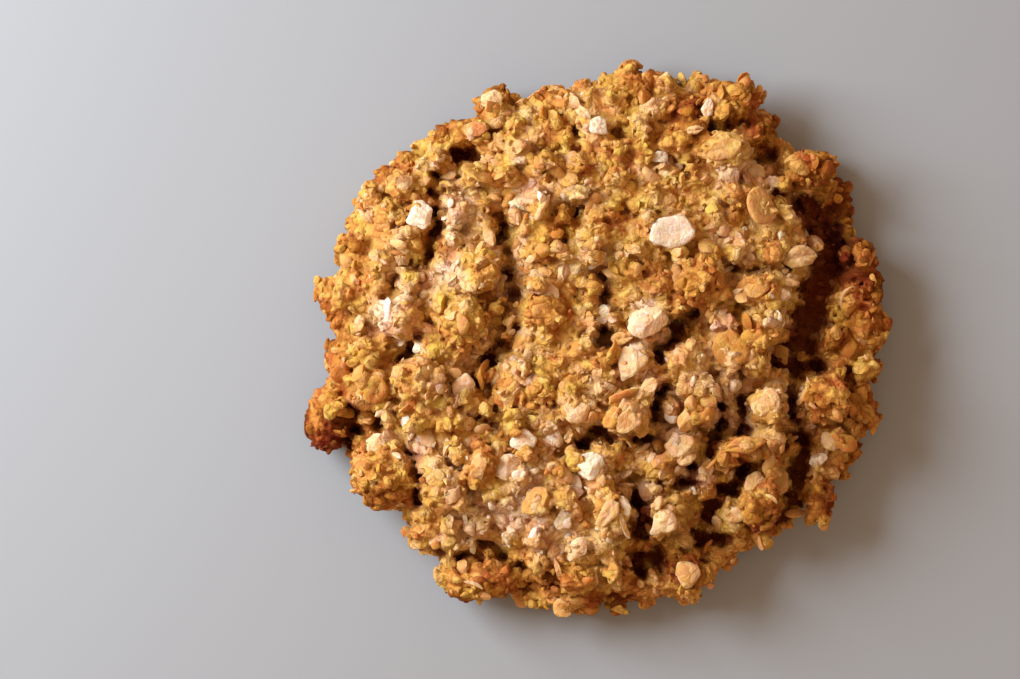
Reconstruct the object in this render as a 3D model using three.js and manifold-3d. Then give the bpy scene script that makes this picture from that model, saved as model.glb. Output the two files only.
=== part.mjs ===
// A rolled-oat and golden-syrup biscuit: one thick, craggy round, spooned out and baked,
// with a broken rim, deep cracks in its crust and oat flakes fused into it.
// Millimetres, +Z up. The origin is the middle of the flat underside.

import * as THREE from "three";
import { mergeVertices } from "three/addons/utils/BufferGeometryUtils.js";
import { SimplexNoise } from "three/addons/math/SimplexNoise.js";
import Module from "manifold-3d";

// Driving dimensions
const RADIUS = 34.3;
const THICKNESS = 14;
const FLOOR_TRIM = 1;

// Length of the crust's facets
const CRUST_STEP = 1.36;

// The dome from its middle to its foot: share of the radius, share of the thickness
const DOME = [
  [0, 1],
  [0.34, 0.985],
  [0.6, 0.94],
  [0.8, 0.83],
  [0.94, 0.62],
  [1, 0.36],
  [0.985, 0.14],
  [0.95, -FLOOR_TRIM / THICKNESS],
];

// Lobes and notches of the rim: bearing from +X in degrees, reach in mm, half-spread in degrees
const RIM_LOBES = [
  { bearing: 0, reach: 1.5, spread: 14 },
  { bearing: 19, reach: 2.2, spread: 7 },
  { bearing: 36, reach: 3.2, spread: 10 },
  { bearing: 59, reach: 3.2, spread: 13 },
  { bearing: 79, reach: 1.0, spread: 8 },
  { bearing: 104, reach: -2.2, spread: 6 },
  { bearing: 114, reach: 2.0, spread: 5 },
  { bearing: 121, reach: -2.6, spread: 5 },
  { bearing: 149, reach: 1.9, spread: 13 },
  { bearing: 171, reach: 0.8, spread: 9 },
  { bearing: 185, reach: -1.6, spread: 4 },
  { bearing: 195, reach: 3.2, spread: 7 },
  { bearing: 232, reach: 1.2, spread: 6 },
  { bearing: 246, reach: 1.0, spread: 12 },
  { bearing: 263, reach: 1.0, spread: 6 },
  { bearing: 285, reach: 0.8, spread: 6 },
  { bearing: 302, reach: -1.2, spread: 9 },
  { bearing: 316, reach: 1.0, spread: 6 },
  { bearing: 338, reach: 2.2, spread: 14 },
];

// Cracks and pits of the crust, each a path in plan with its half-width and depth in mm
const CRACKS = [
  { path: [[31, 19], [32, 13], [30, 7], [27.5, 2], [25.5, -4]], half: 3.2, depth: 6.5 },
  { path: [[25.5, -4], [26.5, -13], [25, -22]], half: 1.9, depth: 4 },
  { path: [[-18.5, 24]], half: 3.4, depth: 5 },
  { path: [[24, 25.5]], half: 3, depth: 4.5 },
  { path: [[-13, 15], [-12, 7.5], [-12.5, 2], [-15.5, -3], [-15.5, -7]], half: 2.2, depth: 3.4 },
  { path: [[9.5, -0.5], [11.5, 1.5], [15.5, 4.5]], half: 2, depth: 4.2 },
  { path: [[1, 8], [1, 1]], half: 1.6, depth: 2.6 },
  { path: [[-3.5, -13.5], [0.5, -12.5], [5.5, -13.5], [8.5, -8.5]], half: 2, depth: 4.2 },
  { path: [[4, -18], [6, -22.5], [7, -27.5], [6.5, -31.5]], half: 2.3, depth: 5 },
  { path: [[19, -18.5], [14, -24], [14.5, -28]], half: 2.2, depth: 5 },
  { path: [[19.5, -6], [16.5, -11], [13.5, -15.5]], half: 1.7, depth: 3.4 },
  { path: [[-26, -1.5], [-22.5, 1.5]], half: 1.7, depth: 3 },
  { path: [[-33, -12.5], [-28.5, -11.5]], half: 1.8, depth: 3.2 },
  { path: [[-14.5, -26.5], [-12, -30], [-10, -32.5]], half: 1.9, depth: 3.4 },
  { path: [[-20.5, 19.5], [-21, 13.5], [-23.5, 9.5]], half: 1.5, depth: 2.4 },
  { path: [[16, 9], [25, 9.5]], half: 1.4, depth: 2.4 },
];

// Clumps that the crust breaks into, and the gaps between them
const CLUMP_SEED = 41;
const CLUMP_SPACING = 4.4;
const CLUMP_RISE = [0.5, 3];
const CLUMP_GAP = 3.4;
const CLUMP_TRIES = 4000;

// Fine unevenness of the crumb, how far a crack's edge wanders, and the shares of the thickness
// between which a crack fades out down the flank
const CRUMB_SEED = 7;
const CRUMB_SIZE = 3;
const CRUMB_RELIEF = 0.4;
const CRACK_WANDER = 0.9;
const CRACK_FADE = [0.15, 0.6];

// Oat flakes: the large pale ones by place, and the rest strewn by a rule
const FLAKE_THICKNESS = 1.1;
const FLAKE_SIDES = 8;
const FLAKE_PROUD = 0.5;
const FLAKE_RAGGED = 0.1;
const FLAKE_WAVES = [3, 5];
const FLAKE_TOP_SHARE = 0.88;
const FLAKE_LEVELLING = 0.6;
const PLACED_FLAKES = [
  { at: [9.5, 13.8], size: [6, 4.7], bearing: 5 },
  { at: [-23.3, 16.3], size: [4.4, 3.6], bearing: 70 },
  { at: [-0.5, 27.8], size: [4.4, 3], bearing: 135 },
  { at: [7, 2.4], size: [5, 4.4], bearing: 40 },
  { at: [4.6, -3.2], size: [4.8, 4.4], bearing: 80 },
  { at: [-1.5, -16.8], size: [4.6, 4], bearing: 10 },
  { at: [-11.8, -17.4], size: [4.4, 4], bearing: 30 },
  { at: [-17, -6.2], size: [3.8, 3.2], bearing: 60 },
  { at: [18, -1.6], size: [8, 6], bearing: 35 },
  { at: [8.9, -24.4], size: [4.6, 4.4], bearing: 20 },
  { at: [-2.3, -28.2], size: [4.8, 3.6], bearing: 60 },
  { at: [10.9, -14.8], size: [4.4, 3.6], bearing: 25 },
  { at: [21.4, -9.2], size: [4.6, 3.6], bearing: 80 },
  { at: [16.1, 24.8], size: [5.6, 4.4], bearing: 30 },
  { at: [26.7, 10.9], size: [5.4, 3], bearing: 10 },
  { at: [-29.3, -13.8], size: [3.6, 3], bearing: 30 },
  { at: [-9.5, -13.4], size: [3.8, 3], bearing: 65 },
  { at: [29, -16.1], size: [3.2, 2.6], bearing: 20 },
  { at: [12.2, -31], size: [4, 3.4], bearing: 75 },
];
const STREWN_SEED = 19;
const STREWN_FLAKES = 20;
const STREWN_LENGTH = [3.6, 5.8];
const STREWN_WIDTH_SHARE = [0.66, 0.86];
const STREWN_HEIGHT = [2.5, 12];

const CRUST = new THREE.MeshStandardMaterial({
  color: 0xb98248,
  roughness: 0.8,
  metalness: 0,
  flatShading: true,
});

const FULL_TURN = 2 * Math.PI;
const UP = new THREE.Vector3(0, 0, 1);
const WELD = 1e-4;
const wasm = await Module();
wasm.setup();

// A repeatable stream of draws from 0 to 1: a linear congruential generator on 32 bits
const DRAW_FACTOR = 1664525;
const DRAW_STEP = 1013904223;
const DRAW_SPAN = 2 ** 32;

function drawsFrom(seed) {
  let state = seed;
  return () => {
    state = (Math.imul(state, DRAW_FACTOR) + DRAW_STEP) >>> 0;
    return state / DRAW_SPAN;
  };
}

function between([low, high], share) {
  return THREE.MathUtils.lerp(low, high, share);
}

const profile = new THREE.SplineCurve(
  DOME.map(([out, up]) => new THREE.Vector2(out * RADIUS, up * THICKNESS)),
);

// How far the rim reaches at a bearing, as a share of the mean radius
function rimShare(bearing) {
  const reach = RIM_LOBES.reduce((sum, lobe) => {
    const centre = THREE.MathUtils.degToRad(lobe.bearing);
    const apart = Math.abs(Math.atan2(Math.sin(bearing - centre), Math.cos(bearing - centre)));
    const spread = THREE.MathUtils.degToRad(lobe.spread);
    return sum + lobe.reach * Math.exp(-((apart / spread) ** 2));
  }, 0);
  return 1 + reach / RADIUS;
}

// A point of the smooth dome and its outward normal, by share of the profile's length and bearing
function domePoint(share, bearing) {
  const place = profile.getPointAt(share);
  const along = profile.getTangentAt(share);
  const out = rimShare(bearing);
  const [cos, sin] = [Math.cos(bearing), Math.sin(bearing)];
  return {
    point: new THREE.Vector3(place.x * out * cos, place.x * out * sin, place.y),
    normal: new THREE.Vector3(-along.y * cos, -along.y * sin, along.x),
  };
}

// Clump centres thrown onto the dome until no more fit at their spacing
function throwClumps() {
  const draw = drawsFrom(CLUMP_SEED);
  const clumps = [];
  for (let i = 0; i < CLUMP_TRIES; i++) {
    const share = Math.sqrt(draw());
    const { point } = domePoint(share, FULL_TURN * draw());
    const clump = { centre: point, rise: between(CLUMP_RISE, draw()) };
    if (clumps.every((c) => c.centre.distanceTo(point) > CLUMP_SPACING)) clumps.push(clump);
  }
  return clumps;
}

const clumps = throwClumps();
const crumb = new SimplexNoise({ random: drawsFrom(CRUMB_SEED) });

// The rounded clump over a point, falling away into the gap towards its neighbour
function clumpRise(point) {
  const near = { reach: Infinity, rise: 0 };
  let next = Infinity;
  for (const { centre, rise } of clumps) {
    const reach = point.distanceTo(centre);
    next = Math.min(next, Math.max(reach, near.reach));
    if (reach < near.reach) Object.assign(near, { reach, rise });
  }
  const fromGap = Math.min((next - near.reach) / CLUMP_GAP, 1);
  return near.rise * Math.sin((Math.PI / 2) * fromGap);
}

const nearest = new THREE.Vector3();

// Distance in plan from a point to a crack's path
function distanceToPath(point, path) {
  const flat = new THREE.Vector3(point.x, point.y, 0);
  const ends = path.map(([x, y]) => new THREE.Vector3(x, y, 0));
  if (ends.length === 1) return flat.distanceTo(ends[0]);
  const steps = ends.slice(1).map((end, i) => {
    return new THREE.Line3(ends[i], end).closestPointToPoint(flat, true, nearest).distanceTo(flat);
  });
  return Math.min(...steps);
}

// The deepest crack at a point, fading out down the flank
function crackDepth(point) {
  const onTop = THREE.MathUtils.smoothstep(point.z / THICKNESS, ...CRACK_FADE);
  const wander = CRACK_WANDER * crumb.noise(point.x / CRUMB_SIZE, point.y / CRUMB_SIZE);
  return CRACKS.reduce((deepest, crack) => {
    const reach = (distanceToPath(point, crack.path) + wander) / crack.half;
    return Math.max(deepest, onTop * crack.depth * (1 - THREE.MathUtils.smoothstep(reach, 0, 1)));
  }, 0);
}

// How far the crust stands out from the smooth dome at a point
function relief(point) {
  const [x, y, z] = point.toArray().map((v) => v / CRUMB_SIZE);
  return clumpRise(point) + CRUMB_RELIEF * crumb.noise3d(x, y, z) - crackDepth(point);
}

// A ring of corners round the crust, about as far apart as the rings are from each other
function crustRing(share, turned) {
  const girth = FULL_TURN * profile.getPointAt(share).x;
  const count = Math.max(1, Math.round(girth / CRUST_STEP));
  return Array.from({ length: count }, (_, i) => {
    const { point, normal } = domePoint(share, (FULL_TURN * (i + turned)) / count);
    return point.addScaledVector(normal, relief(point));
  });
}

// Triangles between two rings, stepping round whichever lags behind. A ring of one corner has no steps
function stitch(upper, lower) {
  const steps = (ring) => (ring.count > 1 ? ring.count : 0);
  const at = (ring, i) => ring.first + (i % ring.count);
  const triangles = [];
  let [i, j] = [0, 0];
  while (i < steps(upper) || j < steps(lower)) {
    const lags = j < steps(lower) && (i === steps(upper) || (j + 1) * steps(upper) <= (i + 1) * steps(lower));
    if (lags) triangles.push(at(upper, i), at(lower, j), at(lower, ++j));
    else triangles.push(at(upper, i), at(lower, j), at(upper, ++i));
  }
  return triangles;
}

// The crust: rings from the crown to the foot, closed by a corner under the middle
function crustGeometry() {
  const count = Math.ceil(profile.getLength() / CRUST_STEP);
  const rings = Array.from({ length: count + 1 }, (_, i) => crustRing(i / count, (i % 2) / 2));
  rings.push([new THREE.Vector3(0, 0, -FLOOR_TRIM)]);
  const spans = [];
  rings.reduce((first, ring) => {
    spans.push({ first, count: ring.length });
    return first + ring.length;
  }, 0);
  return new THREE.BufferGeometry()
    .setFromPoints(rings.flat())
    .setIndex(spans.slice(1).flatMap((span, i) => stitch(spans[i], span)));
}

// A closed solid from a geometry, with only its shared positions kept
function solidFrom(geometry) {
  const bare = new THREE.BufferGeometry()
    .setAttribute("position", geometry.getAttribute("position"))
    .setIndex(geometry.index);
  const merged = mergeVertices(bare, WELD);
  return new wasm.Manifold(
    new wasm.Mesh({
      numProp: 3,
      vertProperties: merged.getAttribute("position").array,
      triVerts: new Uint32Array(merged.index.array),
    }),
  );
}

function geometryFrom(solid) {
  const { vertProperties, triVerts } = solid.getMesh();
  const geometry = new THREE.BufferGeometry()
    .setAttribute("position", new THREE.BufferAttribute(vertProperties, 3))
    .setIndex(new THREE.BufferAttribute(triVerts, 1));
  geometry.computeVertexNormals();
  return geometry;
}

// The solid below the surface that the biscuit rests on, cut away to leave a flat underside
function floorBlock() {
  const side = 4 * RADIUS;
  return solidFrom(new THREE.BoxGeometry(side, side, RADIUS).translate(0, 0, -RADIUS / 2));
}

// A rolled oat flake: a thin bevelled oval with a ragged edge, flat on the XY plane
function flakeGeometry([length, width], bearing) {
  const oval = new THREE.CylinderGeometry(FLAKE_TOP_SHARE / 2, 0.5, 1, FLAKE_SIDES).rotateX(Math.PI / 2);
  const corners = oval.getAttribute("position");
  for (let i = 0; i < corners.count; i++) {
    const around = Math.atan2(corners.getY(i), corners.getX(i));
    const ragged = FLAKE_WAVES.reduce((sum, n) => sum + FLAKE_RAGGED * Math.sin(n * (around + bearing)), 1);
    corners.setXY(i, corners.getX(i) * ragged, corners.getY(i) * ragged);
  }
  return oval.scale(length, width, FLAKE_THICKNESS);
}

// One flake, laid against the crust where a ray meets it
function flakeSolid(hit, size, bearing) {
  const normal = hit.face.normal.clone().lerp(hit.lay, FLAKE_LEVELLING).normalize();
  const turn = new THREE.Quaternion().setFromUnitVectors(UP, normal);
  const spin = new THREE.Quaternion().setFromAxisAngle(UP, bearing);
  const place = hit.point.clone().addScaledVector(normal, FLAKE_PROUD - FLAKE_THICKNESS / 2);
  const pose = new THREE.Matrix4().compose(place, turn.multiply(spin), new THREE.Vector3(1, 1, 1));
  return solidFrom(flakeGeometry(size, bearing).applyMatrix4(pose));
}

const aim = new THREE.Raycaster();

// Where a ray first meets the crust, with the direction that a flake there leans towards
function meetCrust(crust, from, direction) {
  aim.set(from, direction);
  const [hit] = aim.intersectObject(crust);
  return { ...hit, lay: direction.clone().negate() };
}

function placedFlakes(crust) {
  const down = UP.clone().negate();
  return PLACED_FLAKES.map(({ at: [x, y], size, bearing }) => {
    const hit = meetCrust(crust, new THREE.Vector3(x, y, 2 * THICKNESS), down);
    return flakeSolid(hit, size, THREE.MathUtils.degToRad(bearing));
  });
}

// Flakes round the flank and shoulder, spread evenly by the golden angle
function strewnFlakes(crust) {
  const draw = drawsFrom(STREWN_SEED);
  const goldenAngle = Math.PI * (3 - Math.sqrt(5));
  return Array.from({ length: STREWN_FLAKES }, (_, i) => {
    const bearing = i * goldenAngle;
    const inward = new THREE.Vector3(-Math.cos(bearing), -Math.sin(bearing), 0);
    const from = inward.clone().multiplyScalar(-2 * RADIUS).setZ(between(STREWN_HEIGHT, draw()));
    const length = between(STREWN_LENGTH, draw());
    const size = [length, length * between(STREWN_WIDTH_SHARE, draw())];
    return flakeSolid(meetCrust(crust, from, inward), size, FULL_TURN * draw());
  });
}

// One solid of crust and flakes. Only its outer skin is kept, so that no sealed gap is left inside
function biscuitSolid() {
  const crustShape = crustGeometry();
  const crust = new THREE.Mesh(crustShape, CRUST);
  const flakes = [...placedFlakes(crust), ...strewnFlakes(crust)];
  const fused = flakes.reduce((solid, flake) => solid.add(flake), solidFrom(crustShape));
  const bodies = fused.subtract(floorBlock()).decompose();
  return bodies.reduce((largest, body) => (body.volume() > largest.volume() ? body : largest));
}

// The biscuit with the middle of its box on the origin, standing on z = 0
function biscuitMesh() {
  const geometry = geometryFrom(biscuitSolid());
  geometry.computeBoundingBox();
  const middle = geometry.boundingBox.getCenter(new THREE.Vector3());
  geometry.translate(-middle.x, -middle.y, -geometry.boundingBox.min.z);
  const mesh = new THREE.Mesh(geometry, CRUST);
  mesh.name = "biscuit";
  return mesh;
}

const biscuit = new THREE.Group();
biscuit.add(biscuitMesh());

export default biscuit;
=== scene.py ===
"""Looks of a thick, craggy oat and coconut biscuit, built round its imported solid.

The solid gives the form: dome, rim, clumps and cracks. Here its surface becomes real crumb: fragments of
baked dough are fused over it, and oat flakes, coconut shreds and grains are set into them.
Metres, +Z up, seen from straight above with the light low from the upper left.
"""

import logging
import math
from dataclasses import dataclass, field, replace
from enum import Enum
from itertools import product

import bmesh
import bpy
import numpy as np
import openvdb as vdb
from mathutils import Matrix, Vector
from mathutils.bvhtree import BVHTree
from mathutils.kdtree import KDTree


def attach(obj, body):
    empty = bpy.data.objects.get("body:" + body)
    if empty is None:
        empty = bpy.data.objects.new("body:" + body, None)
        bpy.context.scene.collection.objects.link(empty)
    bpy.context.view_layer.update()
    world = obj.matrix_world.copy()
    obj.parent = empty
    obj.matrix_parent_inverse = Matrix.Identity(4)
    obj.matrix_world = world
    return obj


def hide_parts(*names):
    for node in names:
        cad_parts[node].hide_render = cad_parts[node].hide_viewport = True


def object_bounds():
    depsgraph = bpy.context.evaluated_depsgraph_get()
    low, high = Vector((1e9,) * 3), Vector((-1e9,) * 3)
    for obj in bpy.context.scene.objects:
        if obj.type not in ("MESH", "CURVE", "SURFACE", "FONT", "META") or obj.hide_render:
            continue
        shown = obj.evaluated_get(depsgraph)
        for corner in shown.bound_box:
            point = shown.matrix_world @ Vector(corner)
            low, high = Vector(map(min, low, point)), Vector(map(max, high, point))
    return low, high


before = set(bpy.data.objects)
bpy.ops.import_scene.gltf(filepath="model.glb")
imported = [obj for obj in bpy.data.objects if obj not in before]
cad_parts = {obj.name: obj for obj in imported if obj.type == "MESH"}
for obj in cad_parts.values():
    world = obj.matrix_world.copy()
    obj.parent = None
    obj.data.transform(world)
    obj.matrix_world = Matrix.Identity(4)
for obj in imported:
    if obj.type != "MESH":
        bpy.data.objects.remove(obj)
CAD_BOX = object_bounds()

MM = 0.001
BODY = "root"
NODE = "biscuit"
LOG = logging.getLogger("biscuit")

# The least angles, in degrees, at which faces meet in a sharp edge
SMOOTH = 180.0
BROKEN = 45.0

# How many waves make smooth noise, and how their sizes spread about the size asked for
WAVES = 14
WAVE_SPREAD = (0.6, 1.5)

Array = np.ndarray
Colour = tuple[float, float, float, float]


class Slot(Enum):
    """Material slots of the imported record."""

    CRUMB = "baked_crumb"
    OAT = "oat_flake"
    COCONUT = "coconut_shred"


def linear(hex_colour: str) -> Colour:
    """Turns an sRGB hex colour to linear light.

    Args:
        hex_colour: six hex digits, red first.

    Returns:
        Red, green, blue and an alpha of one.
    """
    shares = [int(hex_colour[i : i + 2], 16) / 255 for i in (0, 2, 4)]
    red, green, blue = (s / 12.92 if s <= 0.04045 else ((s + 0.055) / 1.055) ** 2.4 for s in shares)
    return (red, green, blue, 1.0)


def socket(sockets: bpy.types.bpy_prop_collection, name: str) -> bpy.types.NodeSocket:
    """Finds a socket by its identifier, or by its name with _ for a space."""
    return next(s for s in sockets if name in (s.identifier, s.name, s.name.replace(" ", "_")))


def add_node(
    tree: bpy.types.NodeTree,
    kind: str,
    give: str,
    settings: dict[str, object],
    **links: bpy.types.NodeSocket,
) -> bpy.types.NodeSocket | None:
    """Adds a shader node with its settings and links.

    Args:
        tree: the node tree to add it to.
        kind: the node's type, without its ShaderNode prefix.
        give: the output to give back, or nothing for a node without one.
        settings: values by property or input name. A ramp's stops are pairs of place and hex colour.
        links: the outputs that feed its inputs, by input name, with _ for a space.

    Returns:
        The output asked for.
    """
    node = tree.nodes.new("ShaderNode" + kind)
    for name, value in settings.items():
        if name == "stops":
            elements = node.color_ramp.elements
            while len(elements) < len(value):
                elements.new(1.0)
            for element, (place, colour) in zip(elements, value):
                element.position = place
                element.color = linear(colour)
        elif hasattr(node, name):
            setattr(node, name, value)
        else:
            socket(node.inputs, name).default_value = value
    for name, source in links.items():
        tree.links.new(source, socket(node.inputs, name))
    return socket(node.outputs, give) if give else None


@dataclass(frozen=True)
class View:
    """The photograph's frame, and the camera that looks straight down through it."""

    width_px: int = 1020
    height_px: int = 679
    metres_per_px: float = 0.1317 * MM
    biscuit_px: tuple[float, float] = (597.5, 338.0)
    rim_height: float = 6 * MM
    lens: float = 135.0
    sensor: float = 36.0
    near_clip: float = 1 * MM

    def eye(self) -> Vector:
        """Gives the camera's place over the middle of the frame.

        Returns:
            The place, as high as the lens needs to fit the frame at the rim's height.
        """
        across = (self.width_px / 2 - self.biscuit_px[0]) * self.metres_per_px
        along = (self.biscuit_px[1] - self.height_px / 2) * self.metres_per_px
        up = self.width_px * self.metres_per_px * self.lens / self.sensor
        return Vector((across, along, self.rim_height + up))

    def ray(self, px: float, py: float) -> Vector:
        """Gives the direction from the camera through a pixel."""
        step = self.sensor / self.lens / self.width_px
        return Vector(((px - self.width_px / 2) * step, (self.height_px / 2 - py) * step, -1.0)).normalized()

    def spot(self, px: float, py: float, height: float) -> Array:
        """Gives the place that a pixel shows at a height over the floor."""
        eye, line = self.eye(), self.ray(px, py)
        return np.array(eye + line * ((height - eye.z) / line.z))

    def near(self, px: tuple[float, float], points: Array, reach_px: float) -> Array:
        """Tells which points lie within some pixels of the line that a pixel looks along.

        Args:
            px: the pixel.
            points: the points to tell of.
            reach_px: the greatest distance, in pixels.

        Returns:
            True for each point that is near.
        """
        line = np.array(self.ray(*px))
        off = points - np.array(self.eye())
        off -= (off @ line)[:, None] * line
        return np.linalg.norm(off, axis=1) < reach_px * self.metres_per_px

    def make_camera(self) -> bpy.types.Object:
        """Adds the camera and makes it the scene's own.

        Returns:
            The camera.
        """
        data = bpy.data.cameras.new("camera")
        data.lens = self.lens
        data.sensor_width = self.sensor
        data.clip_start = self.near_clip
        camera = bpy.data.objects.new("camera", data)
        camera.location = self.eye()
        bpy.context.scene.collection.objects.link(camera)
        bpy.context.scene.camera = camera
        return camera


@dataclass
class Mesh:
    """Corners, triangles and named values of a mesh in the making."""

    points: Array
    triangles: Array
    values: dict[str, Array] = field(default_factory=dict)

    def normals(self) -> Array:
        """Gives each triangle's normal, as long as twice its area."""
        a, b, c = (self.points[self.triangles[:, i]] for i in range(3))
        return np.cross(b - a, c - a)

    def sample(self, count: int, rng: np.random.Generator, weight: Array) -> tuple[Array, Array, Array]:
        """Throws points onto the surface, evenly by area.

        Args:
            count: how many points.
            rng: the source of draws.
            weight: each triangle's share beside its area.

        Returns:
            The points, the unit normals there and the triangles they fell on.
        """
        normals = self.normals()
        area = np.linalg.norm(normals, axis=1)
        share = area * weight
        chosen = rng.choice(len(area), count, p=share / share.sum())
        u, v = rng.random((2, count, 1))
        fold = u + v > 1
        u, v = np.where(fold, 1 - u, u), np.where(fold, 1 - v, v)
        a, b, c = (self.points[self.triangles[chosen, i]] for i in range(3))
        return a + u * (b - a) + v * (c - a), normals[chosen] / area[chosen, None], chosen

    def tree(self) -> BVHTree:
        """Gives a search tree of the triangles."""
        return BVHTree.FromPolygons(self.points.tolist(), self.triangles.tolist(), all_triangles=True)

    def to_object(self, name: str, material: bpy.types.Material, crease: float = SMOOTH) -> bpy.types.Object:
        """Makes the piece in the scene.

        Args:
            name: the piece's name.
            material: its finish.
            crease: the least angle in degrees at which two faces meet in a sharp edge.

        Returns:
            The new object.
        """
        data = bpy.data.meshes.new(name)
        data.vertices.add(len(self.points))
        data.vertices.foreach_set("co", self.points.astype(np.float32).ravel())
        data.loops.add(self.triangles.size)
        data.loops.foreach_set("vertex_index", self.triangles.astype(np.int32).ravel())
        data.polygons.add(len(self.triangles))
        data.polygons.foreach_set("loop_start", np.arange(0, self.triangles.size, 3, dtype=np.int32))
        data.polygons.foreach_set("use_smooth", np.ones(len(self.triangles), bool))
        data.update(calc_edges=True)
        data.set_sharp_from_angle(angle=math.radians(crease))
        for value_name, values in self.values.items():
            attribute = data.attributes.new(value_name, "FLOAT", "POINT")
            attribute.data.foreach_set("value", values.astype(np.float32))
        data.materials.append(material)
        piece = bpy.data.objects.new(name, data)
        bpy.context.scene.collection.objects.link(piece)
        return piece


def joined(meshes: list[Mesh]) -> Mesh:
    """Joins meshes that carry the same values into one.

    Args:
        meshes: the meshes to join.

    Returns:
        One mesh of them all.
    """
    starts = np.cumsum([0] + [len(m.points) for m in meshes[:-1]])
    values = {name: np.concatenate([m.values[name] for m in meshes]) for name in meshes[0].values}
    triangles = np.concatenate([m.triangles + start for m, start in zip(meshes, starts)])
    return Mesh(np.concatenate([m.points for m in meshes]), triangles, values)


def mesh_of(data: bpy.types.Mesh) -> Mesh:
    """Reads the corners and triangles of a mesh in the scene.

    Args:
        data: the mesh.

    Returns:
        Its corners and triangles.
    """
    points = np.empty(3 * len(data.vertices), np.float32)
    data.vertices.foreach_get("co", points)
    data.calc_loop_triangles()
    triangles = np.empty(3 * len(data.loop_triangles), np.int32)
    data.loop_triangles.foreach_get("vertices", triangles)
    return Mesh(points.reshape(-1, 3).astype(float), triangles.reshape(-1, 3).astype(int))


def thinned(mesh: Mesh, most: int) -> Mesh:
    """Merges the flattest triangles of a mesh until few enough are left.

    Args:
        mesh: the mesh.
        most: the most triangles to leave.

    Returns:
        The lighter mesh, without values.
    """
    piece = mesh.to_object("thinning", bpy.data.materials.new("thinning"))
    piece.modifiers.new("thin", "DECIMATE").ratio = min(1.0, most / len(mesh.triangles))
    thin = mesh_of(piece.evaluated_get(bpy.context.evaluated_depsgraph_get()).data)
    bpy.data.objects.remove(piece)
    return thin


def boxed(mesh: Mesh) -> Mesh:
    """Presses a mesh's corners into the solid's box."""
    mesh.points = np.clip(mesh.points, *CAD_BOX)
    return mesh


def grown_tree(points: Array) -> KDTree:
    """Grows a search tree of points.

    Args:
        points: the points.

    Returns:
        A tree that finds the nearest of them.
    """
    tree = KDTree(len(points))
    for i, point in enumerate(points):
        tree.insert(point, i)
    tree.balance()
    return tree


def nearest_values(source: Mesh, points: Array, name: str) -> Array:
    """Reads a value of a mesh at the corners nearest to some points."""
    tree = grown_tree(source.points)
    return source.values[name][[tree.find(p)[1] for p in points]]


def ball(subdivisions: int) -> tuple[Array, Array]:
    """Makes a geodesic ball of radius one.

    Args:
        subdivisions: one for twenty faces, and four times as many for each more.

    Returns:
        Its corners and its triangles.
    """
    shape = bmesh.new()
    bmesh.ops.create_icosphere(shape, subdivisions=subdivisions, radius=1.0)
    shape.verts.index_update()
    points = np.array([v.co[:] for v in shape.verts])
    triangles = np.array([[v.index for v in f.verts] for f in shape.faces])
    shape.free()
    return points, triangles


def unit(vectors: Array) -> Array:
    """Scales vectors to length one."""
    return vectors / np.linalg.norm(vectors, axis=-1, keepdims=True)


def frames_on(normals: Array, lean: float, rng: np.random.Generator) -> Array:
    """Gives a frame for each normal, leaning away from it at random and turned at random.

    Args:
        normals: unit normals.
        lean: how far a frame's upright may stray from its normal, as a share of the normal's length.
        rng: the source of draws.

    Returns:
        Matrices whose columns are along, across and upright.
    """
    upright = unit(normals + lean * rng.normal(size=normals.shape))
    along = unit(np.cross(upright, rng.normal(size=normals.shape)))
    return np.stack([along, np.cross(upright, along), upright], axis=-1)


def copies(shapes: Array, triangles: Array, frames: Array, places: Array, bakes: Array) -> Mesh:
    """Turns each shape by its frame and moves it to its place, and joins them.

    Args:
        shapes: the corners of every shape about its own middle.
        triangles: one shape's triangles.
        frames: matrices whose columns are along, across and upright.
        places: a place for each shape.
        bakes: how far each has baked.

    Returns:
        One mesh, with a bake for each shape and a crevice value of zero, so no painted shade.
    """
    count, corners = shapes.shape[:2]
    points = (np.einsum("nij,nkj->nki", frames, shapes) + places[:, None, :]).reshape(-1, 3)
    starts = corners * np.arange(count)[:, None, None]
    bake = np.repeat(bakes, corners)
    return Mesh(points, (triangles[None] + starts).reshape(-1, 3), {"bake": bake, "crevice": 0 * bake})


def eased(low: float, high: float, values: Array) -> Array:
    """Runs smoothly from zero at a low value to one at a high one."""
    share = np.clip((values - low) / (high - low), 0, 1)
    return share * share * (3 - 2 * share)


def waves(points: Array, size: float, rng: np.random.Generator) -> Array:
    """Gives smooth noise at points, about one deep.

    Args:
        points: where to read it.
        size: how far apart its crests are.
        rng: the source of draws.

    Returns:
        A value for each point, spread about zero.
    """
    total = np.zeros(points.shape[:-1], np.float32)
    for _ in range(WAVES):
        turn = unit(rng.normal(size=points.shape[-1])) * 2 * np.pi / size * rng.uniform(*WAVE_SPREAD)
        total += np.sin(points @ turn.astype(np.float32) + rng.uniform(0, 2 * np.pi))
    return total * math.sqrt(2 / WAVES)


def apart(points: Array, gap: float) -> Array:
    """Picks points that keep a gap between them, in their order.

    Args:
        points: the points to pick from.
        gap: the least distance between two of those picked.

    Returns:
        The indices of those picked.
    """
    cells: dict[tuple[int, int, int], list[int]] = {}
    steps = list(product((-1, 0, 1), repeat=3))
    kept = []
    for i, (x, y, z) in enumerate(np.floor(points / gap).astype(int).tolist()):
        near = [j for a, b, c in steps for j in cells.get((x + a, y + b, z + c), ())]
        if not near or np.linalg.norm(points[near] - points[i], axis=1).min() >= gap:
            cells.setdefault((x, y, z), []).append(i)
            kept.append(i)
    return np.array(kept)


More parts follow.
